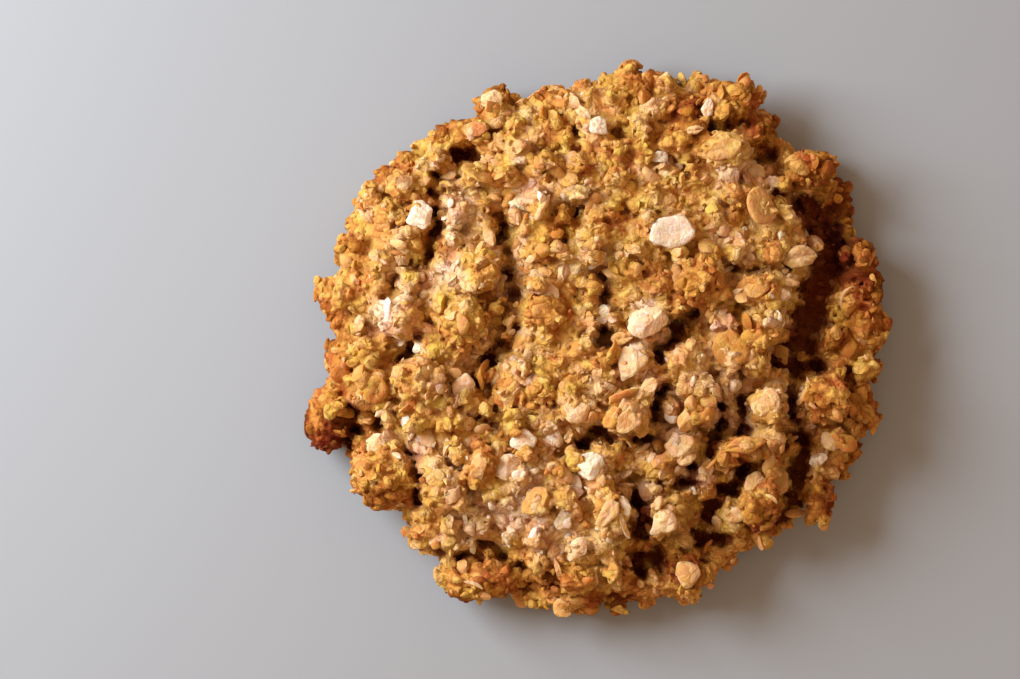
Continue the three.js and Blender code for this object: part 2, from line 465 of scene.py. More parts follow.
@dataclass(frozen=True)
class Fragments:
    """A kind of baked fragment: a broken, flat-sided bit of dough, oat or coconut.

    Attributes:
        count: how many bits.
        length: the least length and the greatest.
        breadth: the breadth, as a share of the length.
        height: the height, as a share of the length.
        facets: how many flat sides are broken off a ball.
        cut: how far from the ball's middle a side lies, as a share of its radius.
        lean: how far a bit may lean, as a share of the normal's length.
        proud: how much of its height a bit stands out on level ground.
        steep: what is left of that on an upright wall, as a share.
        detail: the ball's subdivisions.
        mostly_small: the power by which lengths crowd at the small end.
    """

    count: int
    length: tuple[float, float]
    breadth: tuple[float, float] = (0.65, 0.95)
    height: tuple[float, float] = (0.45, 0.8)
    facets: int = 8
    cut: tuple[float, float] = (0.55, 0.9)
    lean: float = 0.4
    proud: float = 0.6
    steep: float = 0.2
    detail: int = 2
    mostly_small: float = 1.8

    def shapes(self, rng: np.random.Generator) -> tuple[Array, Array]:
        """Breaks balls into flat-sided bits.

        Args:
            rng: the source of draws.

        Returns:
            The corners of every bit about its own middle, and one bit's triangles.
        """
        points, triangles = ball(self.detail)
        bits = np.repeat(points[None], self.count, axis=0)
        for _ in range(self.facets):
            side = unit(rng.normal(size=(self.count, 1, 3)))
            depth = rng.uniform(*self.cut, size=(self.count, 1))
            over = np.maximum((bits * side).sum(-1) - depth, 0.0)
            bits -= over[..., None] * side
        small, large = self.length
        length = small + (large - small) * rng.random(self.count) ** self.mostly_small
        breadth = length * rng.uniform(*self.breadth, size=self.count)
        height = length * rng.uniform(*self.height, size=self.count)
        return bits * np.stack([length, breadth, height], axis=-1)[:, None, :] / 2, triangles

    def laid(
        self,
        places: Array,
        normals: Array,
        bakes: Array,
        rng: np.random.Generator,
        tops: Array | None = None,
    ) -> Mesh:
        """Lays the bits on a surface, part sunk.

        Args:
            places: a place on the surface for each bit.
            normals: the way up there.
            bakes: how far each bit has baked.
            rng: the source of draws.
            tops: how far each bit's top stands over the surface, unless by its own height.

        Returns:
            The bits as one mesh, with a bake for each.
        """
        shapes, triangles = self.shapes(rng)
        height = np.ptp(shapes[..., 2], axis=1)
        upward = self.steep + (1 - self.steep) * np.abs(normals[:, 2])
        rise = (self.proud * height * upward if tops is None else tops) - height / 2
        frames = frames_on(normals, self.lean, rng)
        return copies(shapes, triangles, frames, places + rise[:, None] * normals, bakes)


def blurred(block: Array, reach: int) -> Array:
    """Averages a block of cells over cubes.

    Args:
        block: the cells.
        reach: how many cells a cube reaches each way from its middle.

    Returns:
        The averages, one for each cell.
    """
    span = 2 * reach + 1
    for axis in range(3):
        edges = [(reach + 1, reach) if a == axis else (0, 0) for a in range(3)]
        total = np.cumsum(np.pad(block, edges, mode="edge"), axis=axis)
        high = np.take(total, range(span, total.shape[axis]), axis=axis)
        low = np.take(total, range(total.shape[axis] - span), axis=axis)
        block = (high - low) / span
    return block


@dataclass
class Volume:
    """Signed distances from a surface, on a block of small cubes."""

    distance: Array
    corner: Array
    voxel: float

    @classmethod
    def around(cls, mesh: Mesh, voxel: float, band: float) -> "Volume":
        """Measures the distances near a closed mesh, or near several that overlap.

        Args:
            mesh: the surface.
            voxel: a cube's side.
            band: how far from the surface distances are measured.

        Returns:
            The block, out to the band's edge.
        """
        grid = vdb.FloatGrid.createLevelSetFromPolygons(
            mesh.points.astype(np.float32),
            triangles=mesh.triangles.astype(np.uint32),
            transform=vdb.createLinearTransform(voxel),
            halfWidth=band / voxel,
        )
        low, high = (np.array(c) for c in grid.evalActiveVoxelBoundingBox())
        distance = np.empty(high - low + 1, np.float32)
        grid.copyToArray(distance, ijk=tuple(int(i) for i in low))
        return cls(distance, low, voxel)

    def axis(self, number: int) -> Array:
        """Gives the cubes' places along an axis, shaped to spread over the block."""
        places = (self.corner[number] + np.arange(self.distance.shape[number])) * self.voxel
        return places.reshape([-1 if a == number else 1 for a in range(3)]).astype(np.float32)

    def surface(self, level: float) -> Mesh:
        """Draws the surface at a distance.

        Args:
            level: the distance, below zero for inside.

        Returns:
            The closed surface.
        """
        grid = vdb.FloatGrid(float(self.distance.max()))
        grid.transform = vdb.createLinearTransform(self.voxel)
        grid.copyFromArray(self.distance, ijk=tuple(int(i) for i in self.corner))
        points, triangles, quads = grid.convertToPolygons(isovalue=level, adaptivity=0.0)
        halves = [triangles.reshape(-1, 3), quads[:, [0, 1, 2]], quads[:, [0, 2, 3]]]
        return Mesh(points.astype(float), np.concatenate(halves).astype(int))

    def crowding(self, points: Array, reach: float) -> Array:
        """Measures how much of the space about points is filled.

        Args:
            points: where to measure.
            reach: how far about each point.

        Returns:
            A share for each point: a half on a flat face, more in a nook and less on a tip.
        """
        filled = blurred((self.distance < 0).astype(np.float32), round(reach / self.voxel))
        cells = np.rint(points / self.voxel).astype(int) - self.corner
        i, j, k = np.clip(cells, 0, np.array(filled.shape) - 1).T
        return filled[i, j, k]


@dataclass(frozen=True)
class Baked:
    """A finish of baked dough or of what is in it: dull grains, with painted shade in the grooves between
    them and in the nooks.

    Attributes:
        name: the real material.
        ramp: places and colours, from the brownest bake to the palest.
        nook_shade_colour: the colour multiplied into grooves and nooks: painted shade, with some darker syrup
            in the nooks.
        grain: the size of a grain.
        patch: the size of a patch of tone.
        pore: the size of a pore.
        ragged: how far the edge of a grain strays, as a share of its size.
        groove_shade: how deep the painted shade in the grooves between grains is.
        groove_width: how wide they are, as a share of a grain.
        mottle: how far the bake swings between grains, and again between patches.
        hue: how far the hue swings between grains.
        drift: how many times as far it swings between patches.
        bump: how deep the grooves and pores are.
        roughness: how dull it is.
        specular: how much of a gloss it keeps.
        ior: its refraction.
        scatter: how much of the light goes through it.
        scatter_reach: how far that light goes.
        scatter_colour: how far its red, green and blue go, as shares of that.
    """

    name: str
    ramp: tuple[tuple[float, str], ...]
    nook_shade_colour: str
    grain: float
    patch: float
    pore: float
    ragged: float = 0.7
    groove_shade: float = 0.5
    groove_width: float = 0.16
    mottle: float = 0.2
    hue: float = 0.02
    drift: float = 3.5
    bump: float = 0.6
    roughness: float = 0.85
    specular: float = 0.2
    ior: float = 1.45
    scatter: float = 0.0
    scatter_reach: float = 1.0 * MM
    scatter_colour: tuple[float, float, float] = (1.0, 0.45, 0.2)

    def material(self) -> bpy.types.Material:
        """Makes the material.

        Returns:
            A material that reads each piece's bake, and its crevice value as painted shade.
        """
        material = bpy.data.materials.new(self.name)
        material.use_nodes = True
        tree = material.node_tree
        tree.nodes.clear()
        place = add_node(tree, "TexCoord", "Object", {})
        bake = add_node(tree, "Attribute", "Fac", {"attribute_name": "bake"})
        # The crevice value: painted shade for nooks and crevices, partly also their darker syrup
        crevice = add_node(tree, "Attribute", "Fac", {"attribute_name": "crevice"})

        # Grains with ragged edges, and patches
        noise = add_node(tree, "TexNoise", "Color", {"Scale": 2 / self.grain, "Detail": 2.0}, Vector=place)
        stray = {"operation": "MULTIPLY_ADD", "Vector_001": (self.grain * self.ragged,) * 3}
        spot = add_node(tree, "VectorMath", "Vector", stray, Vector=noise, Vector_002=place)
        cells = add_node(tree, "TexVoronoi", "Color", {"Scale": 1 / self.grain}, Vector=spot)
        edges = {"feature": "DISTANCE_TO_EDGE", "Scale": 1 / self.grain}
        edge = add_node(tree, "TexVoronoi", "Distance", edges, Vector=spot)
        patches = add_node(tree, "TexNoise", "Fac", {"Scale": 1 / self.patch, "Detail": 3.0}, Vector=place)
        clouds = socket(patches.node.outputs, "Color")

        # Tone and hue, which swing between grains and between patches
        shade = bake
        for source, share in ((cells, self.mottle), (patches, self.mottle)):
            swing = {"operation": "MULTIPLY_ADD", "Value_001": 2 * share, "Value_002": -share}
            offset = add_node(tree, "Math", "Value", swing, Value=source)
            shade = add_node(tree, "Math", "Value", {"operation": "ADD"}, Value=shade, Value_001=offset)
        colour = add_node(tree, "ValToRGB", "Color", {"stops": self.ramp}, Fac=shade)
        blues = [add_node(tree, "SeparateColor", "Blue", {}, Color=source) for source in (cells, clouds)]
        drift = {"operation": "MULTIPLY_ADD", "Value_001": self.drift}
        both = add_node(tree, "Math", "Value", drift, Value=blues[1], Value_002=blues[0])
        level = 0.5 - self.hue * (1 + self.drift) / 2
        swing = {"operation": "MULTIPLY_ADD", "Value_001": self.hue, "Value_002": level}
        hue = add_node(tree, "Math", "Value", swing, Value=both)
        colour = add_node(tree, "HueSaturation", "Color", {}, Hue=hue, Color=colour)

        # Painted shade in the grooves between grains and in nooks and crevices, multiplied into the colour
        depth = {"From Max": self.groove_width, "To Min": self.groove_shade, "To Max": 0.0}
        grooves = add_node(tree, "MapRange", "Result", depth, Value=edge)
        painted_shade = add_node(tree, "Math", "Value", {"operation": "MAXIMUM"}, Value=grooves, Value_001=crevice)
        shadow = {"data_type": "RGBA", "blend_type": "MULTIPLY", "B_Color": linear(self.nook_shade_colour)}
        base = add_node(tree, "Mix", "Result_Color", shadow, Factor_Float=painted_shade, A_Color=colour)

        # Swelling grains and pores
        swells = {"Strength": self.bump, "Distance": self.grain}
        normal = add_node(tree, "Bump", "Normal", swells, Height=edge)
        pores = add_node(tree, "TexNoise", "Fac", {"Scale": 1 / self.pore, "Detail": 2.0}, Vector=place)
        pits = {"Strength": self.bump, "Distance": self.pore}
        normal = add_node(tree, "Bump", "Normal", pits, Height=pores, Normal=normal)
        surface = {
            "Roughness": self.roughness,
            "IOR": self.ior,
            "Specular IOR Level": self.specular,
            "Subsurface Weight": self.scatter,
            "Subsurface Scale": self.scatter_reach,
            "Subsurface Radius": self.scatter_colour,
        }
        shader = add_node(tree, "BsdfPrincipled", "BSDF", surface, Base_Color=base, Normal=normal)
        add_node(tree, "OutputMaterial", "", {}, Surface=shader)
        return material


# Baked dough: golden syrup and butter brown as they bake, so its bits run from caramel to straw
BAKED_CRUMB = Baked(
    name="baked oat crumb",
    ramp=(
        (0.0, "74340a"),
        (0.2, "a5611f"),
        (0.38, "ca8b42"),
        (0.53, "d3a14d"),
        (0.75, "dcad73"),
        (1.0, "e4c3a2"),
    ),
    # Painted shade for grooves and nooks, in this colour
    nook_shade_colour="7a3a18",
    grain=1.7 * MM,
    patch=4 * MM,
    pore=0.5 * MM,
    # How deep the painted shade in the grooves is
    groove_shade=0.4,
    mottle=0.12,
    bump=0.4,
)

# Rolled oats: starchy and dull, cream where they stayed dry and tan where the syrup soaked in
ROLLED_OAT = Baked(
    name="rolled oat",
    ramp=((0.0, "7a4018"), (0.4, "bd7f32"), (0.65, "d29f60"), (0.85, "e0b88e"), (1.0, "ebd5c0")),
    # Painted shade for nooks, in this colour
    nook_shade_colour="9b7955",
    grain=0.9 * MM,
    patch=3 * MM,
    pore=0.4 * MM,
    groove_shade=0.0,
    mottle=0.09,
    bump=0.25,
    scatter=0.5,
)

# Broken oat with dough on it: as pale as the oats, with a coarser grain
OAT_CHUNK = replace(
    ROLLED_OAT,
    name="broken oat",
    ramp=((0.0, "7a4018"), (0.4, "b87834"), (0.65, "d29c58"), (0.85, "e6c092"), (1.0, "f2dcc2")),
    grain=1.3 * MM,
    # How deep the painted shade in the grooves is; the shade colour for nooks comes from the rolled oat
    groove_shade=0.1,
    mottle=0.08,
    hue=0.014,
    bump=0.35,
)

# Dried coconut: ivory and a little waxy, tan at the ends that the oven caught
DRIED_COCONUT = Baked(
    name="dried coconut",
    ramp=((0.0, "8a4f20"), (0.4, "c4863f"), (0.7, "dfb078"), (1.0, "efd6b2")),
    # Painted shade for grooves and nooks, in this colour
    nook_shade_colour="9b7955",
    grain=1.2 * MM,
    patch=3 * MM,
    pore=0.4 * MM,
    # How deep the painted shade in the grooves is
    groove_shade=0.2,
    mottle=0.1,
    bump=0.3,
    roughness=0.7,
    scatter=0.5,
)


@dataclass(frozen=True)
class Piece:
    """A piece of the scene.

    Attributes:
        name: its name.
        finish: its finish.
        slot: its slot in the record; not used.
        crease: the least angle in degrees at which its faces meet in a sharp edge.
        stands_for: the node that it replaces, or nothing.
    """

    name: str
    finish: Baked
    slot: Slot
    crease: float = SMOOTH
    stands_for: str = ""

    def dressed(self, mesh: Mesh) -> bpy.types.Object:
        """Makes the piece in the scene, with its finish, and fixes it to the biscuit's body.

        Args:
            mesh: its mesh.

        Returns:
            The dressed piece.
        """
        piece = mesh.to_object(self.name, self.finish.material(), self.crease)
        if self.stands_for:
            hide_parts(self.stands_for)
        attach(piece, BODY)
        LOG.info("%s: %d triangles", self.name, len(piece.data.polygons))
        return piece


@dataclass(frozen=True)
class Lump:
    """A rounded lump that stands out of the crumb: its pixel, its middle's height, its size and how much
    browner it is.
    """

    px: tuple[float, float]
    height: float
    size: tuple[float, float, float]
    browning_and_shade: float


# Lumps round the rim
LUMPS = (
    Lump((332, 417), 4.8 * MM, (6.8 * MM, 8.4 * MM, 7.0 * MM), 0.56),
    Lump((387, 470), 7.0 * MM, (9.6 * MM, 9.8 * MM, 9.6 * MM), 0.14),
    Lump((430, 531), 6.4 * MM, (5.0 * MM, 5.0 * MM, 5.6 * MM), -0.16),
    Lump((482, 578), 5.2 * MM, (11.0 * MM, 6.0 * MM, 6.6 * MM), 0.16),
    Lump((852, 262), 5.5 * MM, (6.0 * MM, 7.0 * MM, 6.0 * MM), 0.28),
    Lump((865, 290), 5.0 * MM, (4.5 * MM, 6.0 * MM, 5.0 * MM), 0.16),
    Lump((858, 331), 5.4 * MM, (7.6 * MM, 8.4 * MM, 6.6 * MM), 0.14),
    Lump((842, 392), 6.5 * MM, (6.5 * MM, 7.0 * MM, 6.0 * MM), 0.18),
    Lump((735, 100), 7.0 * MM, (6.5 * MM, 5.0 * MM, 5.0 * MM), 0.1),
    Lump((346, 361), 4.6 * MM, (5.2 * MM, 7.0 * MM, 6.2 * MM), 0.08),
    Lump((460, 136), 5.5 * MM, (6.5 * MM, 4.2 * MM, 6.0 * MM), 0.26),
    # Painted shade: this low lump on the flank under the cliff is browned darker for the shadow it lies in
    Lump((837, 218), 2.2 * MM, (4.0 * MM, 9.4 * MM, 4.4 * MM), 0.5),
)


@dataclass(frozen=True)
class Knob:
    """A lump on the top: its pixel, its size there, how far it stands out of the solid and how much browner
    it is.
    """

    px: tuple[float, float]
    size_px: tuple[float, float]
    rise: float
    browning_and_shade: float

    def lump(self, tree: BVHTree, view: View, depth: float = 0.8) -> Lump:
        """Sets the knob on the solid.

        Args:
            tree: the search tree of the solid's triangles.
            view: the camera's view, which places it.
            depth: its height, as a share of its breadth.

        Returns:
            The knob as a lump.
        """
        top = tree.ray_cast(view.eye(), view.ray(*self.px))[0].z + self.rise
        across, along = (px * view.metres_per_px for px in self.size_px)
        deep = depth * min(across, along)
        return Lump(self.px, top - deep / 2, (across, along, deep), self.browning_and_shade)


# Knobs on the top
KNOBS = (
    Knob((418, 378), (50, 44), 0.8 * MM, 0.06),
    Knob((400, 318), (44, 36), 0.6 * MM, -0.26),
    Knob((465, 322), (46, 50), 0.5 * MM, 0.2),
    Knob((477, 272), (40, 42), 0.5 * MM, -0.12),
    Knob((548, 312), (46, 36), 0.4 * MM, 0.2),
    Knob((702, 284), (46, 50), 0.8 * MM, 0.14),
    Knob((760, 290), (42, 32), 0.5 * MM, 0.12),
    Knob((764, 328), (40, 36), 0.6 * MM, -0.1),
    Knob((728, 150), (46, 38), 0.6 * MM, -0.04),
    Knob((810, 170), (52, 36), 0.5 * MM, 0.04),
    Knob((826, 396), (44, 44), 0.8 * MM, 0.1),
    Knob((686, 358), (42, 34), 0.6 * MM, -0.14),
    Knob((696, 388), (32, 26), 0.5 * MM, -0.12),
    Knob((629, 420), (38, 34), 0.9 * MM, -0.1),
    Knob((578, 410), (40, 28), 0.7 * MM, -0.02),
    Knob((682, 448), (34, 28), 0.7 * MM, -0.16),
    Knob((768, 405), (32, 34), 0.9 * MM, -0.04),
    Knob((735, 452), (50, 26), 0.7 * MM, 0.03),
    Knob((762, 506), (40, 50), 0.8 * MM, 0.28),
    Knob((818, 500), (28, 46), 0.5 * MM, 0.08),
    Knob((660, 520), (34, 32), 0.8 * MM, 0.04),
    Knob((612, 515), (32, 44), 0.7 * MM, 0.06),
    Knob((688, 574), (40, 36), 0.6 * MM, 0.12),
    Knob((480, 470), (30, 34), 0.6 * MM, 0.05),
    Knob((443, 487), (46, 40), 0.4 * MM, 0.1),
)


@dataclass(frozen=True)
class Spot:
    """A patch made paler or browner than the rest: its pixel, its radius in pixels and how much browner."""

    px: tuple[float, float]
    radius_px: float
    browning_and_shade: float


# Patches that stand out in tone
SPOTS = (
    Spot((555, 490), 52, -0.15),
    Spot((487, 528), 36, -0.2),
    Spot((560, 536), 30, -0.16),
    Spot((468, 250), 38, -0.14),
    Spot((525, 180), 42, -0.14),
    Spot((385, 292), 34, -0.1),
    Spot((405, 447), 24, -0.2),
    Spot((655, 372), 40, -0.05),
    Spot((715, 395), 40, -0.05),
    Spot((760, 172), 28, -0.1),
    Spot((680, 130), 30, 0.22),
    Spot((615, 575), 34, 0.12),
    Spot((765, 530), 26, 0.12),
    Spot((615, 225), 50, 0.05),
    Spot((845, 290), 30, 0.12),
)


@dataclass(frozen=True)
class Browning:
    """How far the biscuit is browned from place to place: by the oven, and on one low lump as painted shade.
    """

    lumps: tuple[Lump, ...]
    height: float = 12 * MM
    middle: float = 0.6
    rim: float = 0.17
    rim_fade: tuple[float, float] = (0.7, 1.0)
    lump_fade: tuple[float, float] = (0.8, 1.5)
    spot_fade: tuple[float, float] = (0.5, 1.3)
    patch: float = 0.07
    patch_size: float = 9 * MM
    seed: int = 5

    def at(self, points: Array, view: View) -> Array:
        """Gives the bake at points.

        Args:
            points: where to read it.
            view: the camera's view, which places the lumps.

        Returns:
            A bake for each point, before its own chance.
        """
        out = np.hypot(points[:, 0] / CAD_BOX[1][0], points[:, 1] / CAD_BOX[1][1])
        bake = self.middle - self.rim * eased(*self.rim_fade, out)
        bake += self.patch * waves(points, self.patch_size, np.random.default_rng(self.seed))
        for lump in self.lumps:
            away = (points - view.spot(*lump.px, lump.height)) / np.array(lump.size) * 2
            bake -= lump.browning_and_shade * (1 - eased(*self.lump_fade, np.linalg.norm(away, axis=1)))
        for spot in SPOTS:
            away = np.linalg.norm(points[:, :2] - view.spot(*spot.px, self.height)[:2], axis=1)
            radius = spot.radius_px * view.metres_per_px
            bake -= spot.browning_and_shade * (1 - eased(*self.spot_fade, away / radius))
        return bake


@dataclass(frozen=True)
class Crevice:
    """A crack between clumps: the pixels along it, its width in pixels and its depth."""

    path: tuple[tuple[float, float], ...]
    width_px: float
    depth: float


# Cracks and pits between the clumps, as paths of pixels
CREVICES = (
    Crevice(((802, 204), (815, 214), (826, 232)), 30, 5.2 * MM),
    Crevice(((828, 226), (834, 248), (827, 272), (817, 297), (808, 325), (802, 346)), 34, 5.4 * MM),
    Crevice(((780, 357), (794, 368), (822, 366)), 21, 4.2 * MM),
    Crevice(((790, 380), (792, 415)), 13, 4.0 * MM),
    Crevice(((803, 428), (808, 450), (800, 468), (798, 500), (785, 522)), 17, 4.6 * MM),
    Crevice(((844, 280), (856, 281)), 7, 1.2 * MM),
    Crevice(((850, 370), (852, 390)), 10, 2.0 * MM),
    Crevice(((832, 428), (850, 432), (858, 448)), 12, 2.2 * MM),
    Crevice(((460, 152), (467, 158), (474, 159)), 18, 4.2 * MM),
    Crevice(((495, 127), (520, 131)), 9, 1.8 * MM),
    Crevice(((436, 178), (438, 195), (438, 228), (430, 242), (425, 264)), 14, 3.2 * MM),
    Crevice(((418, 262), (400, 272), (392, 283)), 9, 2.0 * MM),
    Crevice(((501, 218), (509, 240), (506, 262), (509, 285), (515, 305), (516, 336)), 17, 2.4 * MM),
    Crevice(((501, 347), (488, 362), (480, 383)), 22, 2.8 * MM),
    Crevice(((483, 420), (505, 425)), 12, 1.6 * MM),
    Crevice(((575, 190), (579, 206), (568, 227)), 10, 2.2 * MM),
    Crevice(((565, 232), (566, 244)), 8, 1.4 * MM),
    Crevice(((577, 133), (581, 152)), 9, 2.0 * MM),
    Crevice(((576, 290), (583, 296)), 9, 1.6 * MM),
    Crevice(((607, 278), (607, 290)), 17, 2.6 * MM),
    Crevice(((603, 327), (606, 350)), 12, 2.6 * MM),
    Crevice(((612, 128), (618, 133)), 14, 2.0 * MM),
    Crevice(((625, 205), (626, 215)), 12, 1.6 * MM),
    Crevice(((660, 163), (682, 172)), 16, 1.8 * MM),
    Crevice(((711, 127), (739, 122)), 9, 2.6 * MM),
    Crevice(((770, 150), (767, 162)), 13, 2.6 * MM),
    Crevice(((784, 195), (800, 203)), 13, 2.8 * MM),
    Crevice(((734, 270), (752, 270), (786, 267)), 8, 2.0 * MM),
    Crevice(((700, 312), (680, 325), (668, 345), (660, 362)), 13, 3.0 * MM),
    Crevice(((682, 322), (674, 338)), 20, 3.4 * MM),
    Crevice(((408, 340), (405, 355)), 15, 3.0 * MM),
    Crevice(((428, 322), (418, 338)), 11, 2.4 * MM),
    Crevice(((350, 405), (349, 430), (346, 452)), 10, 3.0 * MM),
    Crevice(((358, 428), (384, 419)), 13, 2.8 * MM),
    Crevice(((397, 395), (385, 400)), 8, 1.6 * MM),
    Crevice(((412, 452), (421, 476), (418, 502)), 12, 3.0 * MM),
    Crevice(((426, 553), (458, 558), (485, 556)), 10, 2.6 * MM),
    Crevice(((497, 448), (500, 453)), 13, 2.4 * MM),
    Crevice(((577, 446), (590, 440), (600, 434)), 15, 3.8 * MM),
    Crevice(((600, 434), (635, 441), (650, 438)), 11, 2.8 * MM),
    Crevice(((650, 420), (658, 402), (663, 390)), 11, 3.4 * MM),
    Crevice(((612, 358), (618, 378)), 7, 1.6 * MM),
    Crevice(((723, 412), (719, 430), (712, 454)), 12, 3.9 * MM),
    Crevice(((744, 400), (743, 434)), 12, 3.6 * MM),
    Crevice(((748, 466), (730, 490), (714, 502), (706, 522), (702, 542)), 16, 4.6 * MM),
    Crevice(((713, 541), (727, 540)), 18, 3.6 * MM),
    Crevice(((692, 464), (690, 482), (666, 488)), 15, 3.8 * MM),
    Crevice(((638, 496), (642, 510), (645, 532)), 19, 4.8 * MM),
    Crevice(((640, 566), (660, 562)), 26, 4.2 * MM),
    Crevice(((704, 552), (706, 562)), 10, 2.0 * MM),
    Crevice(((485, 543), (507, 556)), 11, 2.6 * MM),
    Crevice(((519, 568), (524, 590)), 12, 2.4 * MM),
    Crevice(((550, 560), (550, 570)), 10, 1.8 * MM),
)


@dataclass(frozen=True)
class Crevices:
    """All the crevices: how far they sink the crumb, with walls that wander and shoulders that round off."""

    view: View
    height: float = 10 * MM
    wander: float = 0.4 * MM
    wander_size: float = 3.2 * MM
    shoulders: tuple[float, float] = (0.25, 1.6)
    ledge: float = 0.26
    ledge_size: float = 3.2 * MM
    floor: float = 3.2 * MM
    seed: int = 13

    def depth(self, flat: Array) -> Array:
        """Gives the depth that the crevices reach at places on the floor.

        Args:
            flat: places, as x and y.

        Returns:
            A depth for each place.
        """
        rng = np.random.default_rng(self.seed)
        stray = self.wander * waves(flat, self.wander_size, rng)
        ledges = 1 + self.ledge * waves(flat, self.ledge_size, rng)
        depth = np.zeros(flat.shape[:-1])
        for crevice in CREVICES:
            path = [self.view.spot(*px, self.height)[:2] for px in crevice.path]
            away = np.full(flat.shape[:-1], np.inf)
            for a, b in zip(path, path[1:]):
                share = np.clip(((flat - a) @ (b - a)) / ((b - a) @ (b - a)), 0, 1)
                away = np.minimum(away, np.linalg.norm(flat - a - share[..., None] * (b - a), axis=-1))
            half = crevice.width_px * self.view.metres_per_px / 2
            reach = np.maximum(away + stray, 0) / half
            depth = np.maximum(depth, crevice.depth * (1 - eased(*self.shoulders, reach)))
        return depth * np.clip(ledges, 0, None)


class Form(Enum):
    """The forms of bits that the photograph shows one by one."""

    OAT = "whole rolled oat"
    CHIP = "broken rolled oat"
    CHUNK = "thick bit"


@dataclass(frozen=True)
class Shown:
    """A bit that the photograph shows: its form, its pixel, its size there, its bearing and its bake."""

    form: Form
    px: tuple[float, float]
    size_px: tuple[float, float]
    turn: float
    bake: float


# Oats and other pale bits that stand out
SHOWN = (
    Shown(Form.OAT, (672, 232), (46, 33), 4, 0.98),
    Shown(Form.CHIP, (731, 347), (48, 38), 55, 0.48),
    Shown(Form.CHUNK, (420, 213), (32, 29), 80, 1.0),
    Shown(Form.CHIP, (598, 126), (24, 20), -40, 1.0),
    Shown(Form.CHIP, (585, 114), (22, 11), -45, 0.8),
    Shown(Form.CHIP, (660, 157), (18, 15), 30, 0.94),
    Shown(Form.CHIP, (708, 108), (22, 12), 80, 0.88),
    Shown(Form.CHIP, (695, 130), (20, 9), 10, 0.74),
    Shown(Form.CHIP, (725, 147), (42, 28), 15, 0.64),
    Shown(Form.CHIP, (801, 256), (42, 22), 10, 0.76),
    Shown(Form.CHIP, (563, 519), (24, 19), 20, 0.92),
    Shown(Form.CHIP, (608, 515), (36, 20), 60, 0.74),
    Shown(Form.CHIP, (742, 446), (48, 18), 12, 0.5),
    Shown(Form.CHIP, (735, 515), (26, 17), 15, 0.74),
    Shown(Form.CHUNK, (648, 321), (40, 34), 20, 0.9),
    Shown(Form.CHIP, (624, 338), (26, 15), 8, 0.66),
    Shown(Form.CHUNK, (632, 364), (36, 32), 80, 0.86),
    Shown(Form.CHUNK, (588, 466), (32, 29), 10, 1.04),
    Shown(Form.CHUNK, (508, 468), (32, 28), 30, 0.9),
    Shown(Form.CHUNK, (603, 312), (24, 17), 75, 0.98),
    Shown(Form.CHUNK, (462, 386), (28, 23), 60, 0.86),
    Shown(Form.CHUNK, (470, 359), (34, 10), 18, 0.84),
    Shown(Form.CHUNK, (495, 378), (22, 13), 80, 0.82),
    Shown(Form.CHUNK, (662, 523), (32, 28), 70, 0.84),
    Shown(Form.CHUNK, (577, 550), (32, 18), 60, 0.86),
    Shown(Form.CHUNK, (624, 504), (28, 12), -65, 0.94),
    Shown(Form.CHUNK, (818, 460), (18, 14), 20, 1.0),
    Shown(Form.CHUNK, (829, 441), (26, 16), -25, 0.82),
    Shown(Form.CHUNK, (376, 443), (26, 20), 30, 0.86),
    Shown(Form.CHUNK, (523, 440), (32, 24), 60, 0.95),
    Shown(Form.CHUNK, (683, 445), (30, 25), 20, 0.82),
    Shown(Form.CHUNK, (768, 404), (30, 27), 80, 0.78),
    Shown(Form.CHUNK, (648, 389), (24, 21), 40, 0.8),
    Shown(Form.CHUNK, (575, 411), (28, 23), 10, 0.8),
    Shown(Form.CHUNK, (628, 421), (27, 25), 70, 0.7),
    Shown(Form.CHUNK, (686, 420), (26, 23), 30, 0.68),
    Shown(Form.CHUNK, (707, 467), (22, 15), 80, 0.8),
    Shown(Form.CHUNK, (754, 483), (24, 18), 60, 0.76),
    Shown(Form.CHUNK, (757, 171), (22, 15), -30, 0.82),
    Shown(Form.CHUNK, (758, 290), (22, 17), 10, 0.62),
    Shown(Form.CHUNK, (785, 295), (16, 14), 70, 0.9),
    Shown(Form.CHUNK, (687, 572), (32, 26), 75, 0.72),
    Shown(Form.CHUNK, (478, 468), (28, 22), 75, 0.7),
    Shown(Form.CHUNK, (491, 99), (24, 20), 20, 0.84),
    Shown(Form.CHUNK, (418, 348), (15, 13), 0, 1.0),
    Shown(Form.CHUNK, (702, 78), (14, 11), 0, 0.55),
)


